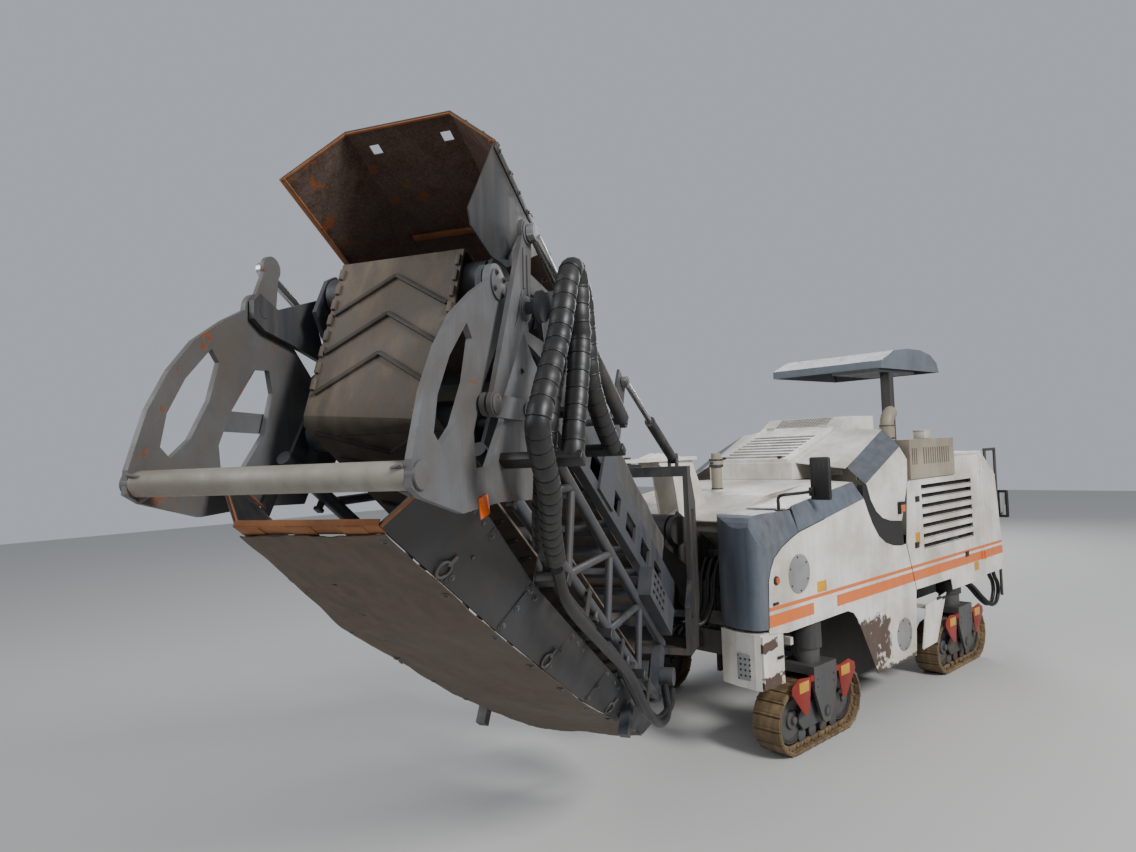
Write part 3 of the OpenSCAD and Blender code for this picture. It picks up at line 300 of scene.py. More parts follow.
# finish: material, slot, paint, colour under it, dust, wear, grime, gloss, metal, bump
finishRows = {
    "white": ("whitePaint", "white_paint", offWhite, brown, (0.46, 0.41, 0.335), 0.22, 0.42, 0.34),
    "blueGrey": ("blueGreyPaint", "grey_paint", blueGrey, primer, greyDust, 0.12, 0.34, 0.34),
    "roofGrey": ("roofPaint", "grey_paint", (0.125, 0.150, 0.180), primer, (0.21, 0.21, 0.21), 0.05, 0.25, 0.36),
    "shield": ("shieldPaint", "grey_paint", blueGrey, brown, greyDust, 0.15, 0.3, 0.34),
    "dark": ("darkSteel", "dark_steel", black, primer, (0.12, 0.10, 0.08), 0.36, 0.42, 0.48),
    "frameGrey": ("conveyorSteel", "grey_paint", (0.040, 0.047, 0.060), (0.14, 0.055, 0.025), (0.10, 0.083, 0.066),
                  0.34, 0.5, 0.44),
    "arm": ("armPaint", "worn_steel", (0.112, 0.117, 0.123), (0.22, 0.070, 0.024), (0.085, 0.066, 0.050),
            0.56, 0.6, 0.42, 0.0, 0.4),
    "bar": ("crossBarPaint", "worn_steel", (0.26, 0.245, 0.21), (0.16, 0.07, 0.03), (0.17, 0.14, 0.105),
            0.36, 0.55, 0.45, 0.0, 0.3),
    "worn": ("wornSteel", "worn_steel", (0.085, 0.088, 0.092), primer, (0.13, 0.10, 0.07), 0.42, 0.5, 0.42, 0.3),
    "tan": ("tanPaint", "tan_paint", (0.33, 0.29, 0.215), primer, (0.24, 0.21, 0.17), 0.18, 0.4, 0.5),
    "rustHood": ("rustyHood", "rusty_steel", (0.034, 0.036, 0.040), (0.17, 0.055, 0.02), (0.10, 0.07, 0.05),
                 0.38, 0.5, 0.55),
    "rust": ("orangeRust", "rusty_steel", (0.22, 0.075, 0.022), (0.06, 0.024, 0.013), (0.34, 0.15, 0.06),
             0.55, 0.7, 0.7, 0.0, 0.5),
    "coverPlates": ("coverPlates", "dark_steel", black, (0.20, 0.07, 0.025), (0.058, 0.047, 0.037), 0.36, 0.65, 0.44),
    "shoe": ("shoeSteel", "shoe_steel", (0.105, 0.068, 0.036), (0.07, 0.035, 0.02), (0.27, 0.185, 0.09),
             0.45, 0.8, 0.6, 0.0, 0.5),
    "rubber": ("blackRubber", "black_rubber", (0.0085, 0.0085, 0.009), (0.024, 0.022, 0.020), (0.042, 0.036, 0.030),
               0.2, 0.3, 0.42),
    "belt": ("beltRubber", "belt_rubber", (0.088, 0.071, 0.055), (0.03, 0.026, 0.023), (0.175, 0.138, 0.10),
             0.30, 0.85, 0.6, 0.0, 0.35),
    "cleat": ("cleatRubber", "belt_rubber", (0.030, 0.026, 0.022), (0.09, 0.07, 0.052), (0.10, 0.078, 0.058),
              0.45, 0.7, 0.6, 0.0, 0.2),
    "canvas": ("coverCanvas", "canvas", (0.068, 0.050, 0.036), (0.020, 0.014, 0.010), (0.135, 0.10, 0.072),
               0.46, 0.85, 0.66, 0.0, 0.3),
    "innerCanvas": ("innerCanvas", "canvas", (0.050, 0.049, 0.048), (0.015, 0.015, 0.015), (0.12, 0.105, 0.09),
                    0.3, 0.6, 0.66, 0.0, 0.3),
    "seat": ("seatVinyl", "black_rubber", (0.017, 0.017, 0.018), (0.05, 0.045, 0.04), (0.09, 0.08, 0.07),
             0.1, 0.3, 0.45, 0.0, 0.2),
    "rod": ("rodSteel", "worn_steel", (0.52, 0.52, 0.53), primer, (0.3, 0.28, 0.25), 0.08, 0.35, 0.18, 0.9, 0.05),
    "mirror": ("mirrorGlass", "worn_steel", (0.62, 0.66, 0.70), primer, paleDust, 0.0, 0.12, 0.06, 1.0, 0.0),
    "amber": ("amberLens", "tan_paint", (0.72, 0.15, 0.006), primer, paleDust, 0.02, 0.2, 0.12, 0.0, 0.05),
    "yellow": ("yellowMark", "tan_paint", (0.70, 0.34, 0.0), primer, (0.36, 0.22, 0.09), 0.12, 0.35, 0.3, 0.0, 0.05),
    "red": ("redPaint", "rusty_steel", (0.27, 0.006, 0.003), primer, (0.16, 0.045, 0.025), 0.25, 0.4, 0.35),
    "orange": ("orangeReflector", "rusty_steel", (0.72, 0.105, 0.004), primer, (0.30, 0.12, 0.05),
               0.05, 0.2, 0.15, 0.0, 0.05),
    "plate": ("barePlate", "worn_steel", (0.30, 0.31, 0.32), primer, (0.25, 0.22, 0.18), 0.2, 0.5, 0.4, 0.2),
    # near black: painted shade in bays and recesses behind slots, mesh and grilles and under the lid, soot and painted
    # shade in the exhaust's mouth, and the console screen's own black
    "hole": ("deepShade", "dark_steel", (0.004, 0.004, 0.004), primer, paleDust, 0.05, 0.1, 0.8, 0.0, 0.0),
}
tilt, slew = -conveyorFacts["innerTilt"], conveyorFacts["slew"]
hoodUp = (-sin(tilt) * cos(slew), -sin(tilt) * sin(slew), cos(tilt))
finishExtras = {
    "white": {"marks": True},
    "roofGrey": {"inside": {"up": (0, 0, 1), "paint": (0.016, 0.017, 0.019), "under": (0.05, 0.04, 0.03),
                            "wear": 0.1}},
    "shield": {"inside": {"up": (0, 0, 1), "paint": offWhite, "under": brown, "wear": 0.22, "below": 0.25}},
    "rustHood": {"inside": {"up": hoodUp, "paint": (0.056, 0.021, 0.012), "under": (0.24, 0.072, 0.020),
                            "wear": 0.60}},
}
finishes = {finish: paintMaterial(row[0], *row[2:], **finishExtras.get(finish, {}))
            for finish, row in finishRows.items()}
nodeFinish = {
    "white": ["side_panels", "front_lower_boxes", "front_deck", "hood_body", "louvred_hood",
              "conveyor_support_arm", "engine_hood", "left_engine_door", "right_engine_door"],
    "blueGrey": ["front_corner_covers", "shoulder_bands"],
    "roofGrey": ["canopy_roof"], "shield": ["platform_shields"],
    "dark": ["main_frame", "column_guides", "control_console", "rear_handrail",
             "canopy_mast", "mirrors", "drum_housing", "scraper_blade", "collecting_conveyor", "slew_frame",
             "lift_cylinder_barrels", "fold_cylinder_barrels"],
    "frameGrey": ["inner_conveyor_frame", "outer_conveyor_frame"],
    "arm": ["outer_arm_plates", "fold_levers", "fold_links"],
    "worn": ["operator_platform", "engine_block", "milling_drum", "front_left_leg", "front_right_leg",
             "rear_left_leg", "rear_right_leg"],
    "tan": ["filler_pipe", "heat_shield_box", "exhaust_elbow"],
    "rustHood": ["inner_steel_hood"], "coverPlates": ["outer_side_plates"],
    "shoe": ["front_left_track", "front_right_track", "rear_left_track", "rear_right_track"],
    "rubber": ["operator_seat", "entry_channels", "fold_hoses", "conveyor_hoses", "slew_hoses", "rear_hoses"],
    "belt": ["inner_conveyor_belt", "fold_belt", "outer_conveyor_belt"],
    "canvas": ["outer_canvas_cover"], "innerCanvas": ["inner_canvas_cover"],
    "rod": ["lift_cylinder_rods", "fold_cylinder_rods"],
}
for finish, names in nodeFinish.items():
    for name in names:
        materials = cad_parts[name].data.materials
        materials.clear()
        materials.append(finishes[finish])
print("materials on the packed nodes")


# small helpers for shapes
def pickNone():
    if bpy.context.object and bpy.context.object.mode != "OBJECT":
        bpy.ops.object.mode_set(mode="OBJECT")
    bpy.ops.object.select_all(action="DESELECT")


def pickOnly(obj):
    pickNone()
    obj.select_set(True)
    bpy.context.view_layer.objects.active = obj


@contextmanager
def editing(obj, wanted=None):
    # edit mode with every face picked, or those that pass a test
    pickOnly(obj)
    bpy.ops.object.mode_set(mode="EDIT")
    bpy.ops.mesh.select_all(action="DESELECT" if wanted else "SELECT")
    if wanted:
        bpy.ops.object.mode_set(mode="OBJECT")
        for face in obj.data.polygons:
            face.select = wanted(face)
        bpy.ops.object.mode_set(mode="EDIT")
    yield
    bpy.ops.object.mode_set(mode="OBJECT")


def applyModifier(obj, kind, **values):
    pickOnly(obj)
    modifier = obj.modifiers.new(kind.lower(), kind)
    for key, value in values.items():
        setattr(modifier, key, value)
    bpy.ops.object.modifier_apply(modifier=modifier.name)


def applyPlace(obj):
    pickOnly(obj)
    bpy.ops.object.transform_apply(location=True, rotation=True, scale=True)


def placed(obj, place):
    obj.data.transform(place)
    if place.determinant() < 0:
        obj.data.flip_normals()
    return obj


def box(size, place=(0, 0, 0), bevel=0.003, segments=2, turn=None):
    pickNone()
    bpy.ops.mesh.primitive_cube_add(size=1, location=place)
    made = bpy.context.object
    made.scale = size
    applyPlace(made)
    applyModifier(made, "BEVEL", width=bevel, segments=segments, limit_method="ANGLE")
    return made if turn is None else placed(made, turn)


def rod(radius, length, place=(0, 0, 0), axis="Z", bevel=0.002, sides=24):
    pickNone()
    lying = {"X": (0, pi / 2, 0), "Y": (pi / 2, 0, 0), "Z": (0, 0, 0)}[axis]
    bpy.ops.mesh.primitive_cylinder_add(vertices=sides, radius=radius, depth=length, location=place, rotation=lying)
    made = bpy.context.object
    applyPlace(made)
    applyModifier(made, "BEVEL", width=bevel, segments=2, limit_method="ANGLE", angle_limit=radians(50))
    return made


def torus(major, minor, around, across):
    pickNone()
    bpy.ops.mesh.primitive_torus_add(major_radius=major, minor_radius=minor, major_segments=around,
                                     minor_segments=across)
    return bpy.context.object


def joinAll(parts, name):
    pickNone()
    for part in parts:
        part.select_set(True)
    bpy.context.view_layer.objects.active = parts[0]
    if len(parts) > 1:
        bpy.ops.object.join()
    joined = bpy.context.object
    joined.name = name
    joined.data.name = name
    return joined


def copiesAt(source, places, name):
    # one model, copied to each place with its own mesh
    copies = []
    for place in places:
        copy = intoScene(source.copy())
        copy.data = source.data.copy()
        copies.append(placed(copy, place))
    bpy.data.objects.remove(source)
    return joinAll(copies, name)


def finishPiece(parts, name, body, finish, place=None, smooth=35):
    # a piece that spans two bodies rides neither
    obj = joinAll(parts, name)
    if place is not None:
        obj.data.transform(place)
    obj.data.materials.clear()
    obj.data.materials.append(finishes[finish])
    pickOnly(obj)
    if smooth:
        bpy.ops.object.shade_smooth_by_angle(angle=radians(smooth))
    if body:
        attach(obj, body)
    return obj


def finishCopies(source, places, name, body, finish, smooth=35):
    return finishPiece([copiesAt(source, places, name)], name, body, finish, smooth=smooth)


# raised V cleats on the belts; each run is its start, its end and its height on the half
cleats = {"halfWidth": 0.27, "lean": 0.17, "barWidth": 0.020, "barHeight": 0.012, "pitch": 0.19, "strandCuts": 12,
          "inner": (-3.95, -0.24, 0.361), "outer": (0.36, 3.5, 0.431),
          "strandTop": (-0.112, 0, 0.336), "strandFoot": (0.222, 0, 0.392), "first": 0.10, "off": 0.002}


def makeCleat(facts):
    reach = hypot(facts["halfWidth"], facts["lean"])
    size = (reach, facts["barWidth"], facts["barHeight"] * 1.6)
    place = (reach / 2, 0, facts["barHeight"] * 0.2)
    return joinAll([box(size, place, 0.004, turn=turned(atan2(side * facts["halfWidth"], facts["lean"]), "Z"))
                    for side in (-1, 1)], "cleat")


def strandPlaces(facts):
    # the belt that hangs round the fold: its ends, and a place at each length down it
    high, low = innerHalf @ Vector(facts["strandTop"]), outerHalf @ Vector(facts["strandFoot"])
    down = (low - high).normalized()
    out = (slewed.to_3x3() @ Vector((0, 1, 0))).cross(down).normalized()
    if out.x < 0:
        out = -out
    turn = axesFrame(down, out.cross(down), out)

    def placeAt(along, rise):
        return Matrix.Translation(high + down * along + out * rise) @ turn
    return high, low, placeAt


def layCleats(facts):
    def rows(half, low, high, height, facing):
        return [half @ at(low + (i + 0.5) * facts["pitch"], 0, height, Matrix.Diagonal((facing, 1, 1, 1)))
                for i in range(int((high - low) / facts["pitch"]))]
    for half, name, facing, run in ((innerHalf, "inner", 1, facts["inner"]), (outerHalf, "outer", -1, facts["outer"])):
        finishCopies(makeCleat(facts), rows(half, *run, facing), name + "BeltCleats", name + "_half", "cleat")
    high, low, placeAt = strandPlaces(facts)
    count = int(((low - high).length - 0.05) / facts["pitch"])
    places = [placeAt(facts["first"] + i * facts["pitch"], facts["off"]) for i in range(count)]
    hanging = finishCopies(makeCleat(facts), places, "foldBeltCleats", None, "cleat")
    # the strand itself, cut into short lengths
    strand = bpy.data.objects["fold_belt"].copy()
    strand.data = strand.data.copy()
    intoScene(strand).parent = None
    pickOnly(strand)
    applyPlace(strand)
    with editing(strand):
        bpy.ops.mesh.remove_doubles(threshold=0.0001)
        for i in range(1, facts["strandCuts"]):
            bpy.ops.mesh.select_all(action="SELECT")
            bpy.ops.mesh.bisect(plane_co=high.lerp(low, i / facts["strandCuts"]), plane_no=(low - high).normalized())
    finishPiece([strand], "foldStrand", None, "belt")
    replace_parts(strand, "fold_belt")
    for piece in (hanging, strand):
        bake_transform(piece)
        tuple(high)
        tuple(low)


layCleats(cleats)
print("belt cleats")


# hoses: a smooth line through a few points, with cuffs where they are wrapped
hoseFacts = {"cuffEvery": 4, "cuffRise": 0.10, "wrappedStep": 0.0155, "plainStep": 0.03,
             "foldRadius": 0.044, "runRadius": 0.026, "slewRadius": 0.021, "rearRadius": 0.023}


def smoothLine(points, step):
    points = [Vector(p) for p in points]
    ends = [points[0] * 2 - points[1]] + points + [points[-1] * 2 - points[-2]]
    line = []
    for a, b, c, d in zip(ends, ends[1:], ends[2:], ends[3:]):
        count = max(2, int((c - b).length / step))
        for k in range(count):
            t = k / count
            line.append(0.5 * ((2 * b) + (c - a) * t + (2 * a - 5 * b + 4 * c - d) * t * t
                               + (3 * b - a - 3 * c + d) * t ** 3))
    return line + [points[-1]]


def makeHose(points, radius, wrapped=False):
    line = smoothLine(points, hoseFacts["wrappedStep" if wrapped else "plainStep"])
    curve = bpy.data.curves.new("hose", "CURVE")
    curve.dimensions = "3D"
    curve.bevel_depth = radius
    curve.bevel_resolution = 5
    curve.use_fill_caps = True
    spline = curve.splines.new("POLY")
    spline.points.add(len(line) - 1)
    for i, point in enumerate(line):
        spline.points[i].co = (*point, 1)
        spline.points[i].radius = 1 - (hoseFacts["cuffRise"] if wrapped and i % hoseFacts["cuffEvery"] == 0 else 0)
    pickOnly(intoScene(bpy.data.objects.new("hose", curve)))
    bpy.ops.object.convert(target="MESH")
    return bpy.context.object


# routes on the two halves, by length along the half, side and height
hoseRoutes = {
    "foldA": [("outer", (0.37, 0.838, 0.556), (0.33, 0.838, 0.44), (0.30, 0.838, 0.309), (0.238, 0.838, 0.104)),
              ("inner", (-0.19, 0.838, -0.06), (-0.12, 0.838, 0.07), (-0.053, 0.838, 0.085), (-0.025, 0.838, 0),
               (-0.035, 0.838, -0.249), (0, 0.838, -0.524)),
              ("outer", (0.06, 0.83, 0.65), (0.35, 0.78, 0.70), (0.60, 0.70, 0.708), (0.85, 0.64, 0.72))],
    "foldB": [("inner", (-1.037, 0.75, -0.115), (-0.804, 0.75, -0.083), (-0.629, 0.75, -0.02), (-0.514, 0.75, 0.11),
               (-0.414, 0.75, 0.235), (-0.33, 0.75, 0.265), (-0.275, 0.75, 0.18), (-0.262, 0.75, -0.02),
               (-0.236, 0.75, -0.29)),
              ("outer", (0.29, 0.75, 0.48), (0.50, 0.69, 0.59), (0.68, 0.63, 0.64), (0.85, 0.575, 0.66))],
    "runA": [("outer", (0.924, 0.626, 0.735), (1.15, 0.62, 0.80), (1.67, 0.62, 0.775), (2.18, 0.62, 0.745),
              (2.58, 0.62, 0.795), (2.85, 0.615, 0.80), (3.13, 0.60, 0.745), (3.40, 0.57, 0.60),
              (3.515, 0.51, 0.3975))],
    "runB": [("outer", (0.924, 0.56, 0.672), (1.20, 0.545, 0.70), (1.70, 0.545, 0.69), (2.20, 0.545, 0.665),
              (2.60, 0.545, 0.72), (2.90, 0.55, 0.745), (3.20, 0.56, 0.70), (3.48, 0.565, 0.54),
              (3.585, 0.545, 0.3975))],
}
# where the hose that crosses the fold starts and ends to bend, in the plane of the fold
slewRoutes = [(0.430, 1.18), (0.500, 1.09), (0.566, 1.25)]


def routePoints(name):
    halves = {"inner": innerHalf, "outer": outerHalf}
    return [halves[half] @ Vector(point) for half, *points in hoseRoutes[name] for point in points]


def barAt(half, low, size, bevel=0.004):
    return box(size, [a + b / 2 for a, b in zip(low, size)], bevel, turn=half)


# the folded half's cover: e, n at the foot of its slope, v and n at the slope's top
coverStations = [(0.12, 0.700, 0.290, 0.950), (1.0, 0.765, 0.372, 0.972), (2.2, 0.722, 0.382, 0.900),
                 (3.43, 0.620, 0.400, 0.740)]


def stationAt(e):
    for a, b in zip(coverStations, coverStations[1:]):
        if e <= b[0]:
            t = (e - a[0]) / (b[0] - a[0])
            return [a[i] + (b[i] - a[i]) * t for i in range(1, 4)]
    return list(coverStations[-1][1:])


def makeHoses(facts):
    # both ends of the outer loop are held by the outer half
    parts = [makeHose(routePoints("foldA"), facts["foldRadius"], wrapped=True),
             barAt(outerHalf, (0.33, 0.5653, 0.54), (0.06, 0.32, 0.036))]
    finishPiece(parts, "foldLoop", "outer_half", "rubber", smooth=50)
    parts = [makeHose(routePoints("foldB"), facts["foldRadius"], wrapped=True),
             barAt(innerHalf, (-1.09, 0.4203, 0.10), (0.06, 0.096, 0.03)),
             barAt(innerHalf, (-1.09, 0.50, -0.13), (0.06, 0.016, 0.26)),
             barAt(innerHalf, (-1.09, 0.50, -0.13), (0.06, 0.30, 0.036))]
    piece = finishPiece(parts, "foldHoses", None, "rubber", smooth=50)
    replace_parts(piece, "fold_hoses")
    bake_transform(piece)
    parts = [makeHose(routePoints(name), facts["runRadius"]) for name in ("runA", "runB")]
    parts += [barAt(outerHalf, (e, 0.5003, stationAt(e)[0] - 0.06), (0.05, 0.15, 0.05)) for e in (1.0, 1.7, 2.4)]
    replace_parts(finishPiece(parts, "conveyorHoses", "outer_half", "rubber", smooth=50), "conveyor_hoses")
    parts = [makeHose([(2.0525, y, 1.56), (2.13, y, 1.57), (2.215, y + 0.005, 1.43), (2.25, y + 0.005, low),
                       (2.33, y - 0.03, 1.085), (2.44, y - 0.07, 1.07), (2.505, y - 0.11, 1.05),
                       (2.52, y - 0.13, 1.0025)], facts["slewRadius"]) for y, low in slewRoutes]
    piece = finishPiece(parts, "slewHoses", None, "rubber", smooth=50)
    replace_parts(piece, "slew_hoses")
    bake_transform(piece)
    parts = [makeHose([(-2.745, y, 0.89), (-2.79, y, 0.8), (-2.88, y, 0.7), (-2.89, y, 0.58), (-2.8, y, 0.48),
                       (-2.66, y - 0.01, 0.47), (-2.56, y - 0.06, 0.56), (-2.5, y - 0.15, 0.7),
                       (-2.44, y - 0.23, 0.76)], facts["rearRadius"]) for y in (0.93, 0.985)]
    parts.append(box((0.06, 0.11, 0.05), (-2.44, 0.7053, 0.76), 0.004))
    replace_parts(finishPiece(parts, "rearHoses", "chassis", "rubber", smooth=50), "rear_hoses")


makeHoses(hoseFacts)
print("hoses")


# tarpaulin under the folded half: eyelets, slack between its strips, creases
tarpFacts = {"start": 0.16, "end": 3.43, "proud": (0.006, 0.0062), "thick": 0.004, "off": 0.004, "deepest": -0.002,
             "sag": 0.020, "creases": 0.012, "scallop": 0.004, "hem": 0.96, "eyeletEvery": 0.42, "firstEyelet": 0.05,
             "eyeletIn": 0.028, "eyeletUp": 0.012, "ring": (0.013, 0.004, 20, 8), "flat": (0.70, 3.31)}


def makeTarp(facts):
    pickNone()
    bpy.ops.mesh.primitive_grid_add(x_subdivisions=170, y_subdivisions=48, size=1)
    tarp = bpy.context.object
    low, high = facts["start"], facts["end"]
    for vertex in tarp.data.vertices:
        e = low + (vertex.co.x + 0.5) * (high - low)
        side = vertex.co.y * 2
        half, top = (a + b for a, b in zip(stationAt(e)[1:], facts["proud"]))
        ripple = (noise.noise(Vector((e * 2.3, side * 3.1, 0.7))) * 0.6
                  + noise.noise(Vector((e * 7, side * 8, 2.2))) * 0.3)
        pull = noise.noise(Vector((e * 1.3 + side * 2.2, side * 1.2 - e * 2.4, 5.1))) * 0.5
        loose = 1 - abs(side) ** 3
        slack = 0.6 + 0.6 * noise.noise(Vector((e * 0.9, 0.2, 1.1)))
        rise = facts["sag"] * loose * slack + facts["creases"] * (ripple + pull)
        scallop = 0.5 - 0.5 * cos(2 * pi * (e - low) / facts["eyeletEvery"]) if abs(side) > facts["hem"] else 0
        vertex.co = (e, side * (half - facts["scallop"] * scallop),
                     top + facts["off"] + max(facts["deepest"], rise))
    applyModifier(tarp, "SOLIDIFY", thickness=facts["thick"], offset=1)
    places = []
    for i in range(int((high - low) / facts["eyeletEvery"])):
        e = low + facts["firstEyelet"] + i * facts["eyeletEvery"]
        half, top = (a + b for a, b in zip(stationAt(e)[1:], facts["proud"]))
        places += [at(e, side * (half - facts["eyeletIn"]), top + facts["eyeletUp"], base=outerHalf)
                   for side in (-1, 1)]
    rings = finishCopies(torus(*facts["ring"]), places, "tarpEyelets", "outer_half", "worn")
    finishPiece([tarp], "outerTarp", "outer_half", "canvas", outerHalf, smooth=60)
    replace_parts(tarp, "outer_canvas_cover")


makeTarp(tarpFacts)
print("tarpaulin")


# canvas over the inner half, held down along both side plates, slack between its hoops
innerCover = {"start": -3.532, "end": -1.262, "thick": 0.004, "hoops": 0.5675, "slack": 0.018,
              "creases": 0.006, "middle": 0.45,
              "outline": [(-0.412, 0.362), (-0.412, 0.56), (-0.26, 0.779), (0.26, 0.779), (0.412, 0.56),
                          (0.412, 0.362)]}


def makeInnerCover(facts):
    outline, roof = facts["outline"], 2
    lengths = [0]
    for a, b in zip(outline, outline[1:]):
        lengths.append(lengths[-1] + hypot(b[0] - a[0], b[1] - a[1]))
    pickNone()
    bpy.ops.mesh.primitive_grid_add(x_subdivisions=110, y_subdivisions=70, size=1)
    cover = bpy.context.object
    for vertex in cover.data.vertices:
        e = facts["start"] + (vertex.co.x + 0.5) * (facts["end"] - facts["start"])
        along = (vertex.co.y + 0.5) * lengths[-1]
        k = max(i for i in range(5) if along >= lengths[i] - 1e-9)
        t = (along - lengths[k]) / (lengths[k + 1] - lengths[k])
        v, n = (outline[k][i] + (outline[k + 1][i] - outline[k][i]) * t for i in (0, 1))
        hoop = abs(sin(pi * (e - facts["start"]) / facts["hoops"]))
        inward = Vector((0, -1)) if k == roof else Vector((-v, facts["middle"] - n)).normalized()
        depth = (hoop * facts["slack"] * min(1, 4 * t * (1 - t) + 0.3)
                 + facts["creases"] * abs(noise.noise(Vector((e * 5, along * 5, 0.4)))))
        vertex.co = (e, v + inward.x * depth, n + inward.y * depth)
    applyModifier(cover, "SOLIDIFY", thickness=facts["thick"], offset=-1)
    finishPiece([cover], "innerCover", "inner_half", "innerCanvas", innerHalf, smooth=60)
    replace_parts(cover, "inner_canvas_cover")


makeInnerCover(innerCover)
print("inner cover")


# plates, bolts and frames that several details share
def flatPlate(outline, thick, bevel=0.002):
    pickNone()
    bpy.ops.mesh.primitive_circle_add(vertices=len(outline), fill_type="NGON")
    plate = bpy.context.object
    for vertex, point in zip(plate.data.vertices, outline):
        vertex.co = (*point, 0)
    applyModifier(plate, "SOLIDIFY", thickness=thick, offset=0)
    with editing(plate):
        bpy.ops.mesh.normals_make_consistent(inside=False)
    applyModifier(plate, "BEVEL", width=bevel, segments=2, limit_method="ANGLE")
    return plate


def sidePlane(y, base=Matrix.Identity(4)):
    # a plate drawn in X-Y stands up in X-Z at this y
    return base @ Matrix(((1, 0, 0, 0), (0, 0, -1, y), (0, 1, 0, 0), (0, 0, 0, 1)))


def boltsAt(size, places, name, body, finish="worn"):
    # hexagon heads on washers, each along +z of its place
    washer = rod(size * 0.95, size * 0.24, (0, 0, size * 0.12), bevel=size * 0.06, sides=14)
    head = rod(size * 0.58, size * 0.55, (0, 0, size * 0.45), bevel=size * 0.07, sides=6)
    return finishCopies(joinAll([washer, head], "bolt"), places, name, body, finish)


outLeft, outRight = turned(-pi / 2, "X"), turned(pi / 2, "X")     # +z turned to +y, and to -y
bothSides = ((1, outLeft), (-1, outRight))
hands = [Matrix.Diagonal((1, side, 1, 1)) for side in (1, -1)]


def onBothSides(make):
    # each part that make returns, as it is and mirrored to the right side
    return [placed(part, hand) for hand in hands for part in make()]


# tracks: shoes with a raised pad and grouser, rollers with flanges, guards beside the fork
trackFacts = {"halfStraight": 0.39, "radius": 0.2715, "middle": 0.275, "width": 0.26, "pitch": 0.1112,
              "ahead": 1.49, "aside": 0.96, "wheel": 0.196, "hub": 0.075, "axle": 0.035, "rim": 0.030,
              "rollerX": (-0.25, -0.085, 0.085, 0.25), "rollerHeight": 0.117, "roller": 0.048, "flange": 0.056,
              "frame": [(0.27, 0.36), (0.335, 0.30), (0.335, 0.24), (0.27, 0.17), (-0.27, 0.17), (-0.335, 0.24),
                        (-0.335, 0.30), (-0.27, 0.36), (-0.10, 0.385), (0.10, 0.385)],
              "guard": [(0.215, 0.60), (0.40, 0.625), (0.505, 0.575), (0.515, 0.52), (0.335, 0.315),
                        (0.270, 0.325)],
              "keeper": 0.05, "keeperBolt": 0.0046, "forkBolt": 0.0075}


def loopPlace(facts, s):
    # place on the loop's outside at a running length s: x ahead, z out of the loop
    a, r, middle = facts["halfStraight"], facts["radius"], facts["middle"]
    arc = pi * r
    s = s % (4 * a + 2 * arc)
    if s < 2 * a:
        x, z, angle = a - s, middle + r, pi
    elif s < 2 * a + arc:
        t = (s - 2 * a) / r
        x, z, angle = -a - sin(t) * r, middle + cos(t) * r, pi - t
    elif s < 4 * a + arc:
        x, z, angle = -a + (s - 2 * a - arc), middle - r, 0
    else:
        t = (s - 4 * a - arc) / r
        x, z, angle = a + sin(t) * r, middle - cos(t) * r, -t
    return at(x, 0, z, turned(angle, "Y") @ turned(pi, "X"))


def makeShoe(facts):
    # the shoe's outside lies on z = 0, the loop's inside is below it
    pitch, width = facts["pitch"], facts["width"]
    plate = box((pitch * 0.95, width, 0.020), (0, 0, -0.022), 0.004)
    pad = box((pitch * 0.70, width * 0.96, 0.022), (0.006, 0, -0.011), 0.007)
    grouser = box((0.020, width * 0.99, 0.030), (-pitch * 0.38, 0, -0.016), 0.005)
    links = [box((pitch * 0.99, 0.030, 0.040), (0, side * 0.060, -0.048), 0.008) for side in (-1, 1)]
    pin = rod(0.014, 0.17, (pitch * 0.45, 0, -0.050), axis="Y", sides=12)
    heads = [rod(0.009, 0.010, (x, side * 0.095, -0.034), sides=6, bevel=0.001)
             for x in (-0.02, 0.03) for side in (-1, 1)]
    return joinAll([plate, pad, grouser, pin] + links + heads, "shoe")


def makeWheels(facts):
    # wheels at the ends, rollers on the ground run, frame between them
    parts = []
    for x in (-facts["halfStraight"], facts["halfStraight"]):
        for y in (-0.052, 0.052):
            middle = (x, y, facts["middle"])
            rim = rod(facts["wheel"], facts["rim"], middle, axis="Y", bevel=0.006, sides=40)
            with editing(rim, lambda face: abs(face.normal.y) > 0.9):
                bpy.ops.mesh.inset(thickness=0.045, use_individual=True)
                bpy.ops.transform.resize(value=(1, 0.55, 1), center_override=middle)
            parts.append(rim)
        parts.append(rod(facts["hub"], 0.16, (x, 0, facts["middle"]), axis="Y", bevel=0.01))
        parts.append(rod(facts["axle"], 0.21, (x, 0, facts["middle"]), axis="Y", bevel=0.006, sides=6))
    for x in facts["rollerX"]:
        parts.append(rod(facts["roller"], 0.15, (x, 0, facts["rollerHeight"]), axis="Y", bevel=0.006))
        parts += [rod(facts["flange"], 0.014, (x, y, facts["rollerHeight"]), axis="Y", bevel=0.003, sides=28)
                  for y in (-0.066, 0.066)]
    parts += [placed(flatPlate(facts["frame"], 0.022, 0.004), sidePlane(y)) for y in (-0.092, 0.092)]
    return parts + [box((0.58, 0.17, 0.15), (0, 0, facts["middle"]), 0.012)]


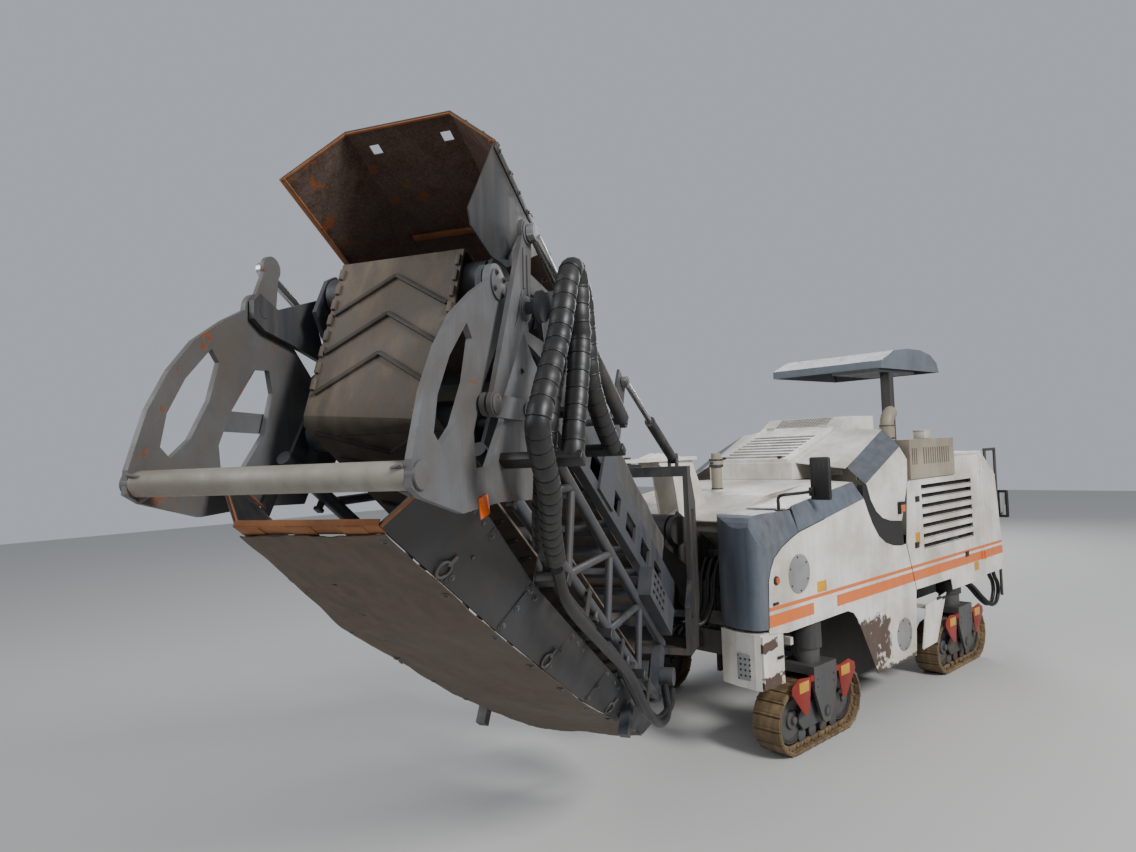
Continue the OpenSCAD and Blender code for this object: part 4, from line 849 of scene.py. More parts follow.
def makeTrack(facts, name, ahead, side):
    base = at(ahead * facts["ahead"], side * facts["aside"], 0)
    total = 4 * facts["halfStraight"] + 2 * pi * facts["radius"]
    count = round(total / facts["pitch"])
    unit = name + "_unit"
    places = [base @ loopPlace(facts, (i + 0.5) * total / count) for i in range(count)]
    shoes = finishCopies(makeShoe(facts), places, name + "_shoes", unit, "shoe")
    finishPiece(makeWheels(facts), name + "_wheels", unit, "worn", base)
    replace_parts(shoes, name + "_track")
    # guard flags beside the fork, with their yellow marks
    y = side * 0.160
    flags, marks = [], []
    for turn in (1, -1):
        flags.append(placed(flatPlate([(turn * a, b) for a, b in facts["guard"]], 0.008), sidePlane(y)))
        flags.append(box((0.09, 0.030, 0.05), (turn * 0.185, y - side * 0.008, 0.585), 0.004))
        marks.append(box((0.145, 0.004, 0.085), (turn * 0.335, y + side * 0.006, 0.545), 0.0015))
    finishPiece(flags, name + "_guards", unit, "red", base)
    finishPiece(marks, name + "_guardMarks", unit, "yellow", base)
    # keeper plate and bolts at the fork's pin
    r = facts["keeper"]
    eight = [(r * cos(t * pi / 4), r * sin(t * pi / 4)) for t in range(8)]
    keeper = placed(flatPlate(eight, 0.004, 0.001), at(0, 0, facts["middle"], sidePlane(side * 0.1718)))
    finishPiece([keeper], name + "_keeper", unit, "dark", base)
    turn = outLeft if side > 0 else outRight
    places = [base @ at(x, side * 0.1735, z, turn) for x, z in ((0.0, 0.30), (0.022, 0.262), (-0.022, 0.262))]
    boltsAt(facts["keeperBolt"], places, name + "_keeperBolts", unit, "dark")
    places = [base @ at(x, side * 0.1702, z, turn) for x in (-0.13, 0.13) for z in (0.50, 0.56)]
    boltsAt(facts["forkBolt"], places, name + "_bolts", unit, "dark")


for end, ahead in (("front", 1), ("rear", -1)):
    for hand, side in (("left", 1), ("right", -1)):
        makeTrack(trackFacts, end + "_" + hand, ahead, side)
print("tracks")


# front louvred lid: slats under its slots, latches and the vent's mesh
lidFacts = {"slats": 8, "pitch": 0.095, "first": 0.480, "slatWidth": 0.014, "slatLean": 46, "middle": -0.120,
            "front": (0.640, 2.3264), "rise": 0.338, "length": 0.985, "ventLean": atan2(0.126, 0.215),
            "bars": 19, "barPitch": 0.035, "wires": 7, "wirePitch": 0.0333}


def lidHeight(x):
    frontX, frontZ = lidFacts["front"]
    return frontZ + (frontX - x) * lidFacts["rise"] / lidFacts["length"]


def makeLid(facts):
    lean, y = turned(atan2(facts["rise"], facts["length"]), "Y"), facts["middle"]
    places = []
    for i in range(facts["slats"]):
        x = (facts["first"] - i * facts["pitch"] + 0.1436) / 1.16
        places.append(at(x, y, lidHeight(x) + 0.008, turned(radians(facts["slatLean"]), "Y")))
    slat = box((facts["slatWidth"], 0.756, 0.004), bevel=0.0012)
    finishCopies(slat, places, "lidSlats", "hood_lid", "white")
    # black plate under the lid: painted shade inside the hood below the slats
    screen = box((0.88, 0.77, 0.010), bevel=0.002)
    finishPiece([screen], "lidShadePlate", "chassis", "hole", at(0.14, y, lidHeight(0.14) - 0.055, lean))
    # mesh on the sloping front of the raised vent, over a black plate of painted shade
    vent = at(-0.4525, y, 2.727, turned(facts["ventLean"], "Y"))
    finishPiece([box((0.205, 0.640, 0.004), (0, 0, 0.0015), 0.001)], "ventShade", "chassis", "hole", vent)
    bars = [box((0.215, 0.008, 0.006), (0, -0.315 + facts["barPitch"] * i, 0.005), 0.002)
            for i in range(facts["bars"])]
    bars += [box((0.007, 0.650, 0.006), (-0.100 + facts["wirePitch"] * i, 0, 0.007), 0.002)
             for i in range(facts["wires"])]
    finishPiece(bars, "ventMesh", "chassis", "white", vent)
    parts = []
    for y in (-0.46, 0.22):
        parts.append(box((0.05, 0.03, 0.012), (0, 0, 0.006), turn=at(0.585, y, lidHeight(0.585) + 0.030, lean)))
        parts.append(placed(rod(0.009, 0.05, axis="Y", sides=12), at(0.600, y, lidHeight(0.6) + 0.050)))
    finishPiece(parts, "lidLatches", "hood_lid", "dark")


makeLid(lidFacts)
print("lid")


# small things on the front and the sides of the body
frontFacts = {"lamp": (2.117, 1.445), "lampRadius": 0.026, "accessBolts": 6, "boltSize": 0.013,
              "holes": 4, "holePitch": (0.04, 0.043), "patchThick": 0.0016,
              "seam": [(2.243, 1.080), (2.219, 1.450), (2.183, 1.544), (2.130, 1.622), (2.013, 1.696),
                       (1.861, 1.756), (1.746, 1.792), (1.330, 1.862)],
              "roundPlates": ((1.770, 1.450, 0.140, 0.166), (-0.070, 0.610, 0.138, 0.164))}


def makeFront(facts):
    # perforated plate on the face of the lower box, leaning back with it
    lean = at(2.352, 0.965, 0.79, turned(radians(5), "Z"))
    lampX, lampZ = facts["lamp"]

    def darkParts():
        count, (wide, tall) = facts["holes"], facts["holePitch"]
        holes = [rod(0.009, 0.004, (0.0125, -0.06 + wide * i, -0.065 + tall * k), axis="X", sides=10, bevel=0.001)
                 for i in range(count) for k in range(count)]
        holes += [rod(0.006, 0.005, (0.013, y, z), axis="X", sides=6, bevel=0.001)
                  for y in (-0.08, 0.08) for z in (-0.09, 0.09)]
        parts = [placed(hole, lean) for hole in holes]
        # handle and latch bodies, each with its round end
        for x, z, wide, tall, ahead, radius, deep, y in (
                (2.130, 1.266, 0.055, 0.022, 0.036, 0.011, 0.020, 1.108),
                (2.100, 0.843, 0.055, 0.022, 0.036, 0.011, 0.020, 1.108),
                (-0.874, 0.838, 0.075, 0.030, -0.055, 0.012, 0.018, 1.107),
                (-1.015, 0.825, 0.075, 0.030, -0.055, 0.012, 0.018, 1.107)):
            parts.append(box((wide, 0.012, tall), (x, 1.106, z), 0.004))
            parts.append(rod(radius, deep, (x + ahead, y, z), axis="Y", sides=16))
        parts.append(rod(facts["lampRadius"] + 0.009, 0.014, (lampX, 1.106, lampZ), axis="Y"))
        # gutter along the joint of the white side panel and the blue corner
        for a, b in zip(facts["seam"], facts["seam"][1:]):
            run = Vector((b[0] - a[0], 0, b[1] - a[1]))
            middle = ((a[0] + b[0]) / 2, 1.100, (a[1] + b[1]) / 2)
            parts.append(box((run.length + 0.003, 0.005, 0.007), bevel=0.0015,
                             turn=frameAt(middle, run, (0, -1, 0)) @ turned(pi / 2, "X")))
        return parts

    finishPiece(onBothSides(lambda: [box((0.012, 0.018, 0.41), (2.346, 1.102, 0.838), 0.004)]),
                "boxEdges", "chassis", "white")
    finishPiece(onBothSides(darkParts), "bodyLatches", "chassis", "rubber")
    finishPiece(onBothSides(lambda: [box((0.010, 0.185, 0.205), (0.006, 0, 0), turn=lean)]),
                "perforatedPlates", "chassis", "plate")
    # coloured lenses and patches
    reflector = (2.315, 0.782)
    turn = at(*reflector, 0, turned(radians(-12), "Z") @ at(-reflector[0], -reflector[1], 0))
    finishPiece(onBothSides(lambda: [rod(facts["lampRadius"], 0.022, (lampX, 1.114, lampZ), axis="Y", bevel=0.006),
                                     box((0.008, 0.105, 0.095), (*reflector, 0.970), 0.002, turn=turn)]),
                "markerLenses", "chassis", "orange")

    def patch(x, z, wide, tall):
        return box((wide, facts["patchThick"], tall), (x, 1.1004, z), 0.0006)
    finishPiece(onBothSides(lambda: [patch(1.428, 1.300, 0.155, 0.092)]), "sidePatches", "chassis", "yellow")
    finishPiece([patch(-1.955, 1.035, 0.13, 0.10), patch(-0.475, 1.50, 0.105, 0.13)],
                "doorPatches", "left_engine_door", "yellow")
    # round access plates with their bolts, both sides
    places = []
    for x, z, radius, edge in facts["roundPlates"]:
        for i in range(facts["accessBolts"]):
            turn = i * 2 * pi / facts["accessBolts"] + 0.4
            places += [at(x + radius * cos(turn), side * 1.094, z + radius * sin(turn), out)
                       for side, out in bothSides]
    boltsAt(facts["boltSize"], places, "accessPlateBolts", "chassis", "dark")
    discs = [rod(edge - 0.006, 0.005, (x, side * 1.0955, z), axis="Y", bevel=0.0015, sides=64)
             for x, z, radius, edge in facts["roundPlates"] for side in (1, -1)]
    finishPiece(discs, "accessPlates", "chassis", "plate")


makeFront(frontFacts)
print("front and side fittings")


# lamps, doors' blades and latches, roof box, bands of the pipes
bodyFacts = {"bladeDepth": 0.016, "bladeLean": 38, "bladeDrop": 0.023, "bladeY": 1.082, "shadeY": 1.045,
             "filler": (1.30, -0.04), "exhaust": (-0.56, 0.80), "elbow": (-0.700, 2.667, 0.140),
             "mouthLean": radians(62), "sootAndShade": 0.0605}
# each door: side, its slots' middle, blade length and heights, shade, latches
doorFacts = {
    "left": (1, -1.270, 1.325, (1.404, 1.507, 1.610, 1.712, 1.813, 1.917, 2.010), (1.40, 0.72, 1.705),
             ((-0.445, 1.439), (-0.505, 1.90), (-1.70, 1.20))),
    "right": (-1, -0.700, 0.565, (1.404, 1.610, 1.813), (0.64, 0.52, 1.61), ((-0.42, 1.35), (-0.42, 1.85))),
}


def makeBodyFittings(facts):
    for hand, name in zip(hands, ("leftLamp", "rightLamp")):
        housing = [box((0.115, 0.048, 0.030), (-0.120, 1.111, 1.887), 0.006),
                   box((0.020, 0.044, 0.105), (-0.066, 1.110, 1.835), 0.005),
                   rod(0.010, 0.035, (-0.120, 1.100, 1.865), axis="Y", sides=14)]
        finishPiece([placed(joinAll(housing, name), hand)], name + "Housing", "chassis", "rubber")
        lens = placed(box((0.088, 0.038, 0.075), (-0.124, 1.113, 1.838), 0.012, 3), hand)
        finishPiece([lens], name + "Lens", "chassis", "amber")
    for name, (side, x, length, heights, shade, latches) in doorFacts.items():
        # blades behind the slots, and a black plate behind them, painted shade of the bay
        door = name + "_engine_door"
        lean = turned(radians(-side * facts["bladeLean"]), "X")
        places = [at(x, side * facts["bladeY"], z - facts["bladeDrop"], lean) for z in heights]
        blade = box((length, 0.004, facts["bladeDepth"]), bevel=0.0012)
        finishCopies(blade, places, name + "DoorBlades", door, "white")
        wide, tall, z = shade
        finishPiece([box((wide, 0.006, tall), (x, side * facts["shadeY"], z), 0.002)],
                    name + "DoorShade", door, "hole")
        parts = []
        for x, z in latches:
            parts.append(box((0.095, 0.010, 0.060), (x, side * 1.103, z), 0.006))
            parts.append(box((0.060, 0.014, 0.020), (x + 0.008, side * 1.107, z), 0.004))
        finishPiece(parts, name + "DoorLatches", door, "rubber")
    # screws round the left door
    places = []
    for x, upperX, upperZ in ((-2.12, -2.09, 2.28), (-1.75, -1.72, 2.28), (-1.35, -1.35, 2.06),
                              (-0.95, -0.95, 2.06), (-0.55, -0.55, 2.06)):
        places += [at(x, 1.100, 1.045, outLeft), at(upperX, 1.100, upperZ, outLeft)]
    boltsAt(0.009, places, "leftDoorScrews", "left_engine_door", "white")
    # box of the small relay on the roof, beside the exhaust
    finishPiece([box((0.16, 0.12, 0.085), (-1.02, 0.965, 2.5525), 0.006),
                 box((0.175, 0.135, 0.012), (-1.02, 0.965, 2.597), 0.004)], "roofBox", "chassis", "white")

    def bands(x, y, rows):
        return [rod(radius, deep, (x, y, z), bevel=0.004, sides=48) for radius, deep, z in rows]
    parts = bands(*facts["filler"], ((0.069, 0.026, 2.332), (0.069, 0.020, 2.390), (0.056, 0.018, 2.110)))
    parts.append(box((0.03, 0.03, 0.022), (1.365, -0.04, 2.361), 0.004))
    finishPiece(parts, "fillerBand", "chassis", "dark")
    finishPiece(bands(*facts["exhaust"], ((0.079, 0.022, 2.530), (0.079, 0.016, 2.662))),
                "exhaustClamps", "chassis", "worn")
    # black disc in the mouth of the elbow: soot, and painted shade of the inside of the pipe
    turn, (x, z, bend) = facts["mouthLean"], facts["elbow"]
    mouth = frameAt((x + bend * cos(turn), 0.800, z + bend * sin(turn)), (0, 1, 0), (-sin(turn), 0, cos(turn)))
    finishPiece([rod(facts["sootAndShade"], 0.010, sides=48)], "exhaustSootAndShade", "chassis", "hole", mouth)


makeBodyFittings(bodyFacts)
print("body fittings")


# dark flap, bolts and lips of the steel hood
hoodFacts = {"boltPitch": 0.24, "boltSize": 0.019, "thick": 0.006, "slope": atan2(0.250, 0.258), "flapBolt": 0.014,
             "flap": [(0.195, 0.592), (-0.36, 0.592), (-0.36, 0.50), (-0.12, 0.20), (0.02, 0.135), (0.20, 0.115),
                      (0.245, 0.16)]}


def makeHoodFittings(facts):
    slope = facts["slope"]
    parts = [placed(flatPlate(facts["flap"], facts["thick"], 0.0015), sidePlane(0.517)),
             box((0.012, 0.010, 0.30), turn=at(-0.135, 0.523, 0.375, turned(radians(-14), "Y"))),
             box((0.55, 0.008, 0.035), (-0.08, 0.523, 0.565), 0.002)]
    finishPiece(parts, "hoodFlap", "inner_half", "coverPlates", innerHalf)
    # bolts along the feet of both slopes, and across the back of the roof
    places = []
    for side in (1, -1):
        out = turned(-side * (pi / 2 - slope), "X")
        places += [at(-1.20 + i * facts["boltPitch"], side * 0.500, 0.617, out) for i in range(6)]
        places.append(at(0.15, side * 0.50, 0.617, out))
        places += [at(e, side * (0.33 + 0.10 * k), 0.781 - 0.097 * k, out) for k in range(2) for e in (0.165, -1.215)]
    places += [at(-1.20, y, 0.840) for y in (-0.20, 0.0, 0.20)]
    boltsAt(facts["boltSize"], [innerHalf @ place for place in places], "hoodBolts", "inner_half")
    places = [innerHalf @ at(0.16 - i * 0.11, 0.527, 0.565, outLeft) for i in range(5)]
    boltsAt(facts["flapBolt"], places, "flapBolts", "inner_half")
    # turned-in lips at the hood's mouth and along its feet, and ribs inside the roof, bright with rust
    lips = []
    for side in (1, -1):
        lips.append(box((1.45, 0.030, 0.006), (-0.525, 0, 0), 0.002, turn=at(0, side * 0.507, 0.590)))
        lips.append(box((0.012, 0.362, 0.012), turn=at(0.192, side * 0.388, 0.711, turned(-side * slope, "X"))))
    lips.append(box((0.012, 0.528, 0.012), (0.192, 0, 0.832)))
    lips += [box((0.030, 0.50, 0.018), (e, 0, 0.825)) for e in (-0.45, -1.05)]
    finishPiece(lips, "hoodLips", "inner_half", "rust", innerHalf)


makeHoodFittings(hoodFacts)
print("hood fittings")


# folded half: lip and edges of the mouth, strips over the seams, hooks and rings of the cover
mouthFacts = {"seams": (0.56, 1.0, 1.58, 2.2, 2.82), "stripWidth": 0.042, "ring": (0.034, 0.006, 24, 8),
              "footBolts": (0.40, 1.0, 1.7, 2.4, 3.1), "boltSize": 0.015, "rings": (0.52, 1.55, 2.60),
              "pins": (0.70, 1.25, 1.95, 2.65, 3.25), "chordFall": 0.0095}


def slopeFrame(e, side):
    # frame on the outside of a side plate: x along e, y up the slope, z outwards
    foot, half, top = stationAt(e)
    low, high = Vector((e, side * 0.500, foot)), Vector((e, side * (half + 0.003), top))
    y = (high - low).normalized()
    z = Vector((1, 0, 0)).cross(y)
    if z.y * side < 0:
        z = -z
    return at(*low, axesFrame(y.cross(z), y, z)), (high - low).length


def makeMouth(facts):
    strips, bolts, rusty, ringPlaces, pins = [], [], [], [], []
    rusty.append(box((0.060, 0.600, 0.006), (0.140, 0, 0.9575), 0.002))
    rusty.append(box((0.007, 0.600, 0.026), (0.1125, 0, 0.947), 0.002))
    rusty += [box((0.070, 0.10, 0.004), (0.146, y, 0.962), 0.0015) for y in (-0.24, -0.02, 0.19)]
    for side in (1, -1):
        for e in facts["seams"]:
            place, reach = slopeFrame(e, side)
            strips.append(box((facts["stripWidth"], reach - 0.010, 0.006), (0, reach / 2, 0.006), 0.002, turn=place))
            bolts += [place @ at(0, reach * k, 0.009) for k in (0.12, 0.5, 0.88)]
        for e in facts["footBolts"]:
            place, reach = slopeFrame(e + 0.03, side)
            bolts += [place @ at(dx, 0.035, 0.003) for dx in (-0.045, 0.045)]
        place, reach = slopeFrame(0.128, side)
        rusty.append(box((0.016, reach, 0.014), (0, reach / 2, 0.002), turn=place))
        rusty.append(box((0.30, 0.010, 0.010), (0.15, 0.004, 0.003), 0.002, turn=place))
        for e in facts["rings"]:
            place, reach = slopeFrame(e, side)
            ringPlaces.append(outerHalf @ place @ at(0.03, reach - 0.035, 0.014))
        for e in facts["pins"]:
            fall = facts["chordFall"] * e
            pins.append(rod(0.016, 0.060, (e, side * 0.470, 0.535 - fall), sides=14))
            pins.append(box((0.040, 0.034, 0.018), (e, side * 0.470, 0.565 - fall), 0.004))
    finishPiece(strips, "sidePlateStrips", "outer_half", "coverPlates", outerHalf)
    boltsAt(facts["boltSize"], [outerHalf @ place for place in bolts], "sidePlateBolts", "outer_half")
    finishPiece(rusty, "mouthLips", "outer_half", "rust", outerHalf)
    hook = box((0.018, 0.050, 0.008), (0, -0.045, 0.002))
    ring = joinAll([torus(*facts["ring"]), hook], "ring")
    finishCopies(ring, ringPlaces, "coverRings", "outer_half", "worn")
    finishPiece(pins, "chordPins", "outer_half", "dark", outerHalf)


makeMouth(mouthFacts)
print("mouth and side plates")


# carrying rollers under both belts, with their brackets; each row is its first place and its count
rollerFacts = {"radius": 0.038, "half": 0.315, "bracket": 0.045, "pitch": 0.5,
               "inner": (-3.60, 0.306, 7), "outer": (0.80, 0.376, 6)}


def makeRollers(facts):
    for half, name in ((innerHalf, "inner"), (outerHalf, "outer")):
        roller = [rod(facts["radius"], facts["half"] * 2, axis="Y", bevel=0.006), rod(0.011, 0.74, axis="Y", sides=12)]
        roller += [box((facts["bracket"], 0.010, 0.075), (0, side * 0.352, -0.012)) for side in (-1, 1)]
        first, height, count = facts[name]
        places = [half @ at(first + facts["pitch"] * i, 0, height) for i in range(count)]
        finishCopies(joinAll(roller, "roller"), places, name + "Rollers", name + "_half", "worn")


makeRollers(rollerFacts)
print("rollers")


# lugs along the edges of the hanging belt
lugFacts = {"size": (0.052, 0.020, 0.016), "pitch": 0.078, "first": 0.06, "off": 0.001, "fromMiddle": 0.286}


def makeBeltLugs(facts):
    high, low, placeAt = strandPlaces(cleats)
    count = int(((low - high).length - 0.08) / facts["pitch"])
    places = [placeAt(facts["first"] + i * facts["pitch"], facts["off"]) @ at(0, side * facts["fromMiddle"], 0)
              for i in range(count) for side in (-1, 1)]
    finishCopies(box(facts["size"], (0, 0, 0.006), 0.004), places, "beltLugs", "inner_half", "belt")


makeBeltLugs(lugFacts)


# fold gear: gussets, caps and sleeve of the crossbar, bolt heads, bosses and ribs of the levers, reflector
gearFacts = {"bar": (-0.130, 0.920), "gusset": [(0, 0.043), (0.052, 0.044), (0.0, 0.068)], "gussetThick": 0.010,
             "gussetTurns": (35, 150, 270), "cap": 0.0448, "sleeve": 0.0462, "pivotCap": 0.0605,
             "pinBolts": 0.046, "boltSize": 0.013, "leverY": 0.628, "ribShift": 0.022,
             "armBolts": ((0.600, 0.110), (0.600, 0.420), (0.50, 0.30), (0.35, 0.14)),
             "bosses": ((-0.150, 0.0, 0.050), (-0.030, 0.285, 0.048), (-0.083, -0.487, 0.038))}


def makeFoldGear(facts):
    barX, barZ = facts["bar"]
    parts, places = [], []
    for side, out in bothSides:
        upright = Matrix(((0, 0, 1, 0), (-side, 0, 0, 0), (0, 1, 0, 0), (0, 0, 0, 1)))
        for turn in facts["gussetTurns"]:
            parts.append(flatPlate(facts["gusset"], facts["gussetThick"]))
            parts[-1].data.transform(at(barX, side * 0.5355, barZ, turned(radians(turn), "Y") @ upright))
        parts.append(rod(facts["cap"], 0.010, (barX, side * 0.572, barZ), axis="Y", bevel=0.003, sides=40))
        parts.append(rod(facts["pivotCap"], 0.008, (0, side * 0.5695, 0), axis="Y", sides=36))
        r = facts["pinBolts"]
        places += [at(r * cos(k * pi / 2 + 0.5), side * 0.5735, r * sin(k * pi / 2 + 0.5), out) for k in range(4)]
        places += [at(e, side * 0.5652, n, out) for e, n in facts["armBolts"]]
    finishPiece(parts, "barGussets", "outer_half", "arm", outerHalf)
    sleeve = rod(facts["sleeve"], 1.076, (barX, 0, barZ), axis="Y", sides=48)
    finishPiece([sleeve], "crossBarSleeve", "outer_half", "bar", outerHalf)
    boltsAt(facts["boltSize"], [outerHalf @ place for place in places], "armBolts", "outer_half", "dark")
    bosses = [rod(radius, 0.006, (e, side * facts["leverY"], n), axis="Y", sides=32)
              for side in (1, -1) for e, n, radius in facts["bosses"]]
    finishPiece(bosses, "leverBosses", "fold_levers", "arm", innerHalf)
    # ribs beside the lever's slot
    a, b = Vector((-0.045, 0.20)), Vector((-0.120, 0.055))
    run, middle = b - a, (a + b) / 2
    lean = turned(-atan2(run.y, run.x), "Y")
    ribs = [box((run.length, 0.006, 0.012), bevel=0.002,
                turn=at(middle.x + shift, side * facts["leverY"], middle.y, lean))
            for side in (1, -1) for shift in (-facts["ribShift"], facts["ribShift"])]
    finishPiece(ribs, "leverRibs", "fold_levers", "arm", innerHalf)
    # reflector on the arm, turned on its corner
    reflector = box((0.075, 0.005, 0.075), bevel=0.002, turn=at(0.30, 0.5678, 0.785, turned(radians(45), "Y")))
    finishPiece([reflector], "armReflector", "outer_half", "orange", outerHalf)


makeFoldGear(gearFacts)
print("fold gear")


# bands round the thick hoses, where they are wrapped
bandFacts = {"ring": (0.0405, 0.0042, 20, 6), "every": hoseFacts["cuffEvery"], "bare": 4}


def makeHoseBands(facts):
    for name, body in (("foldA", "outer_half"), ("foldB", None)):
        line = smoothLine(routePoints(name), hoseFacts["wrappedStep"])
        places = []
        for i in range(facts["bare"], len(line) - facts["bare"] - 1, facts["every"]):
            ahead = (line[i + 1] - line[i - 1]).normalized()
            side = ahead.orthogonal().normalized()
            places.append(at(*line[i], axesFrame(side, ahead.cross(side), ahead)))
        bands = finishCopies(torus(*facts["ring"]), places, name + "Bands", body, "rubber", smooth=60)
        if body is None:
            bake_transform(bands)


makeHoseBands(bandFacts)


# operator's seat: two padded cushions on a sprung base
seatFacts = {"place": (-2.15, -0.62), "floor": 1.48, "cushion": (0.43, 0.43, 0.105), "back": (0.095, 0.41, 0.42),
             "room": 0.02, "voxel": 0.006, "pressure": 4, "frames": 20, "mostMove": 0.009,
             "swell": 0.014, "channel": 0.006, "channels": (-0.45, 0.45), "scissor": radians(17)}


def inflate(pad, facts):
    before = [v.co.copy() for v in pad.data.vertices]
    pickOnly(pad)
    cloth = pad.modifiers.new("cloth", "CLOTH")
    cloth.settings.use_pressure = True
    cloth.settings.uniform_pressure_force = facts["pressure"]
    cloth.settings.effector_weights.gravity = 0
    cloth.settings.quality = 4
    scene = bpy.context.scene
    scene.frame_start, scene.frame_end = 1, facts["frames"]
    cloth.point_cache.frame_start, cloth.point_cache.frame_end = 1, facts["frames"]
    for step in range(1, facts["frames"] + 1):
        scene.frame_set(step)
    bpy.ops.object.modifier_apply(modifier=cloth.name)
    scene.frame_set(1)
    for vertex, old in zip(pad.data.vertices, before):
        move = vertex.co - old
        if move.length > facts["mostMove"]:
            vertex.co = old + move * (facts["mostMove"] / move.length)


def padFrom(size, place, facts, crown):
    # a pad that swells along its crown, x or z
    pad = box([a - facts["room"] for a in size], place, 0.022, 3)
    applyModifier(pad, "REMESH", mode="VOXEL", voxel_size=facts["voxel"])
    inflate(pad, facts)
    middle, up = Vector(place), 2 if crown == "z" else 0
    for vertex in pad.data.vertices:
        local = vertex.co - middle
        across = local.y / (size[1] / 2)
        along = local[2 - up] / (size[2 - up] / 2)
        # sewn channels run along the pad, sides pull in between the corners
        channel = facts["channel"] * sum(max(0, 1 - abs(across - c) / 0.05) for c in facts["channels"])
        swell = facts["swell"] * max(0, 1 - across * across) * max(0, 1 - along * along)
        if local[up] > 0:
            vertex.co[up] += swell - channel
    return pad


def makeSeat(facts):
    x, y = facts["place"]
    floor = facts["floor"]
    base = [rod(0.058, 0.16, (x, y, floor + 0.090), bevel=0.008, sides=40),
            rod(0.12, 0.016, (x, y, floor + 0.008), bevel=0.004, sides=40),
            box((0.36, 0.34, 0.028), (x, y, floor + 0.292), 0.006),
            box((0.30, 0.28, 0.020), (x, y, floor + 0.182), 0.005)]
    for side in (-1, 1):
        base += [box((0.30, 0.014, 0.018), bevel=0.004,
                     turn=at(x, y + side * 0.145, floor + 0.237, turned(lean * facts["scissor"], "Y")))
                 for lean in (-1, 1)]
        base.append(box((0.022, 0.028, 0.16), (x - 0.12, y + side * 0.214, floor + 0.47), 0.005))
        base.append(box((0.24, 0.048, 0.030), (x - 0.02, y + side * 0.216, floor + 0.565), 0.010, 3))
    base.append(box((0.020, 0.30, 0.34), (x - 0.228, y, floor + 0.58), 0.008))
    finishPiece(base, "seatBase", "chassis", "dark")
    cushion = padFrom(facts["cushion"], (x, y, floor + 0.352), facts, "z")
    back = padFrom(facts["back"], (x - 0.185, y, floor + 0.612), facts, "x")
    for pad, name in ((cushion, "seatCushion"), (back, "seatBack")):
        finishPiece([pad], name, "chassis", "seat", smooth=0)
        pickOnly(pad)
        bpy.ops.object.shade_smooth()
    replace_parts(cushion, "operator_seat")


makeSeat(seatFacts)
print("seat")


# mirrors: rounded shells with glass; the front one on a bent tube
mirrorFacts = {"shells": (((1.4225, 1.135, 2.215), (0.045, 0.186, 0.366), -1),
                          ((-2.905, 1.075, 1.670), (0.040, 0.166, 0.336), 1)),
               "edge": 0.007, "sunk": 0.006, "armRadius": 0.0135,
               "arm": [(1.445, 1.060, 2.104), (1.70, 1.060, 2.104), (1.81, 1.055, 2.106), (1.840, 1.020, 2.100),
                       (1.840, 0.980, 2.075), (1.840, 0.980, 1.972)]}


def makeMirrors(facts):
    shells, glasses = [], []
    for place, size, face in facts["shells"]:
        shell = box(size, place, 0.018, 4)
        facing = [f for f in shell.data.polygons if f.normal.x * face > 0.99]
        widest = max(facing, key=lambda f: f.area).index
        with editing(shell, lambda f: f.index == widest):
            bpy.ops.mesh.inset(thickness=facts["edge"])
            bpy.ops.transform.translate(value=(-face * facts["sunk"], 0, 0))
        shells.append(shell)
        x, y, z = place
        deep, wide, tall = size
        glasses.append(box((0.004, wide - 0.060, tall - 0.062), (x + face * (deep / 2 - 0.004), y, z), 0.0015))
        # ribs on the back of the shell
        shells += [box((0.006, 0.010, tall * 0.72), (x - face * (deep / 2 - 0.001), y + k * 0.045, z), 0.002)
                   for k in (-1, 0, 1)]
    shells.append(makeHose(facts["arm"], facts["armRadius"]))
    shells.append(rod(0.034, 0.010, (1.840, 0.980, 1.976), bevel=0.003, sides=28))
    shells.append(box((0.026, 0.040, 0.075), (1.456, 1.062, 2.104), 0.005))
    shells.append(box((0.020, 0.036, 0.066), (-2.8805, 1.040, 1.670), 0.004))
    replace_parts(finishPiece(shells, "mirrorShells", "chassis", "rubber"), "mirrors")
    finishPiece(glasses, "mirrorGlasses", "chassis", "mirror")


makeMirrors(mirrorFacts)
print("mirrors")


# milling drum: holders with round-shank picks in two helices
drumFacts = {"height": 0.620, "rings": 28, "firstRing": -0.478, "ringPitch": 0.0352, "ringTurn": 51,
             "shell": 0.380, "rim": 0.390, "hub": 0.110, "pickLean": pi / 2 - 0.5}


def makeDrum(facts):
    height = facts["height"]
    holder = box((0.070, 0.052, 0.075), (0.412, 0, 0), 0.008)
    pickNone()
    bpy.ops.mesh.primitive_cone_add(vertices=16, radius1=0.020, radius2=0.006, depth=0.062,
                                    location=(0.458, 0, 0.006), rotation=(0, facts["pickLean"], 0))
    pick = bpy.context.object
    applyPlace(pick)
    collar = placed(rod(0.025, 0.016, bevel=0.003, sides=16), at(0.440, 0, -0.003, turned(facts["pickLean"], "Y")))
    places = [at(0, facts["firstRing"] + ring * facts["ringPitch"], height,
                 turned(radians(ring * facts["ringTurn"] + half), "Y"))
              for ring in range(facts["rings"]) for half in (0, 180)]
    finishCopies(joinAll([holder, pick, collar], "tool"), places, "drumTools", "milling_drum", "worn")
    parts = [rod(radius, length, (0, y, height), axis="Y", bevel=bevel, sides=sides)
             for radius, length, y, bevel, sides in (
                 (facts["shell"], 1.0, 0, 0.008, 72), (facts["hub"], 1.118, 0, 0.006, 40),
                 (facts["rim"], 0.016, -0.490, 0.004, 72), (facts["rim"], 0.016, 0.490, 0.004, 72))]
    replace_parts(finishPiece(parts, "drumShell", "milling_drum", "worn"), "milling_drum")


makeDrum(drumFacts)
print("drum")


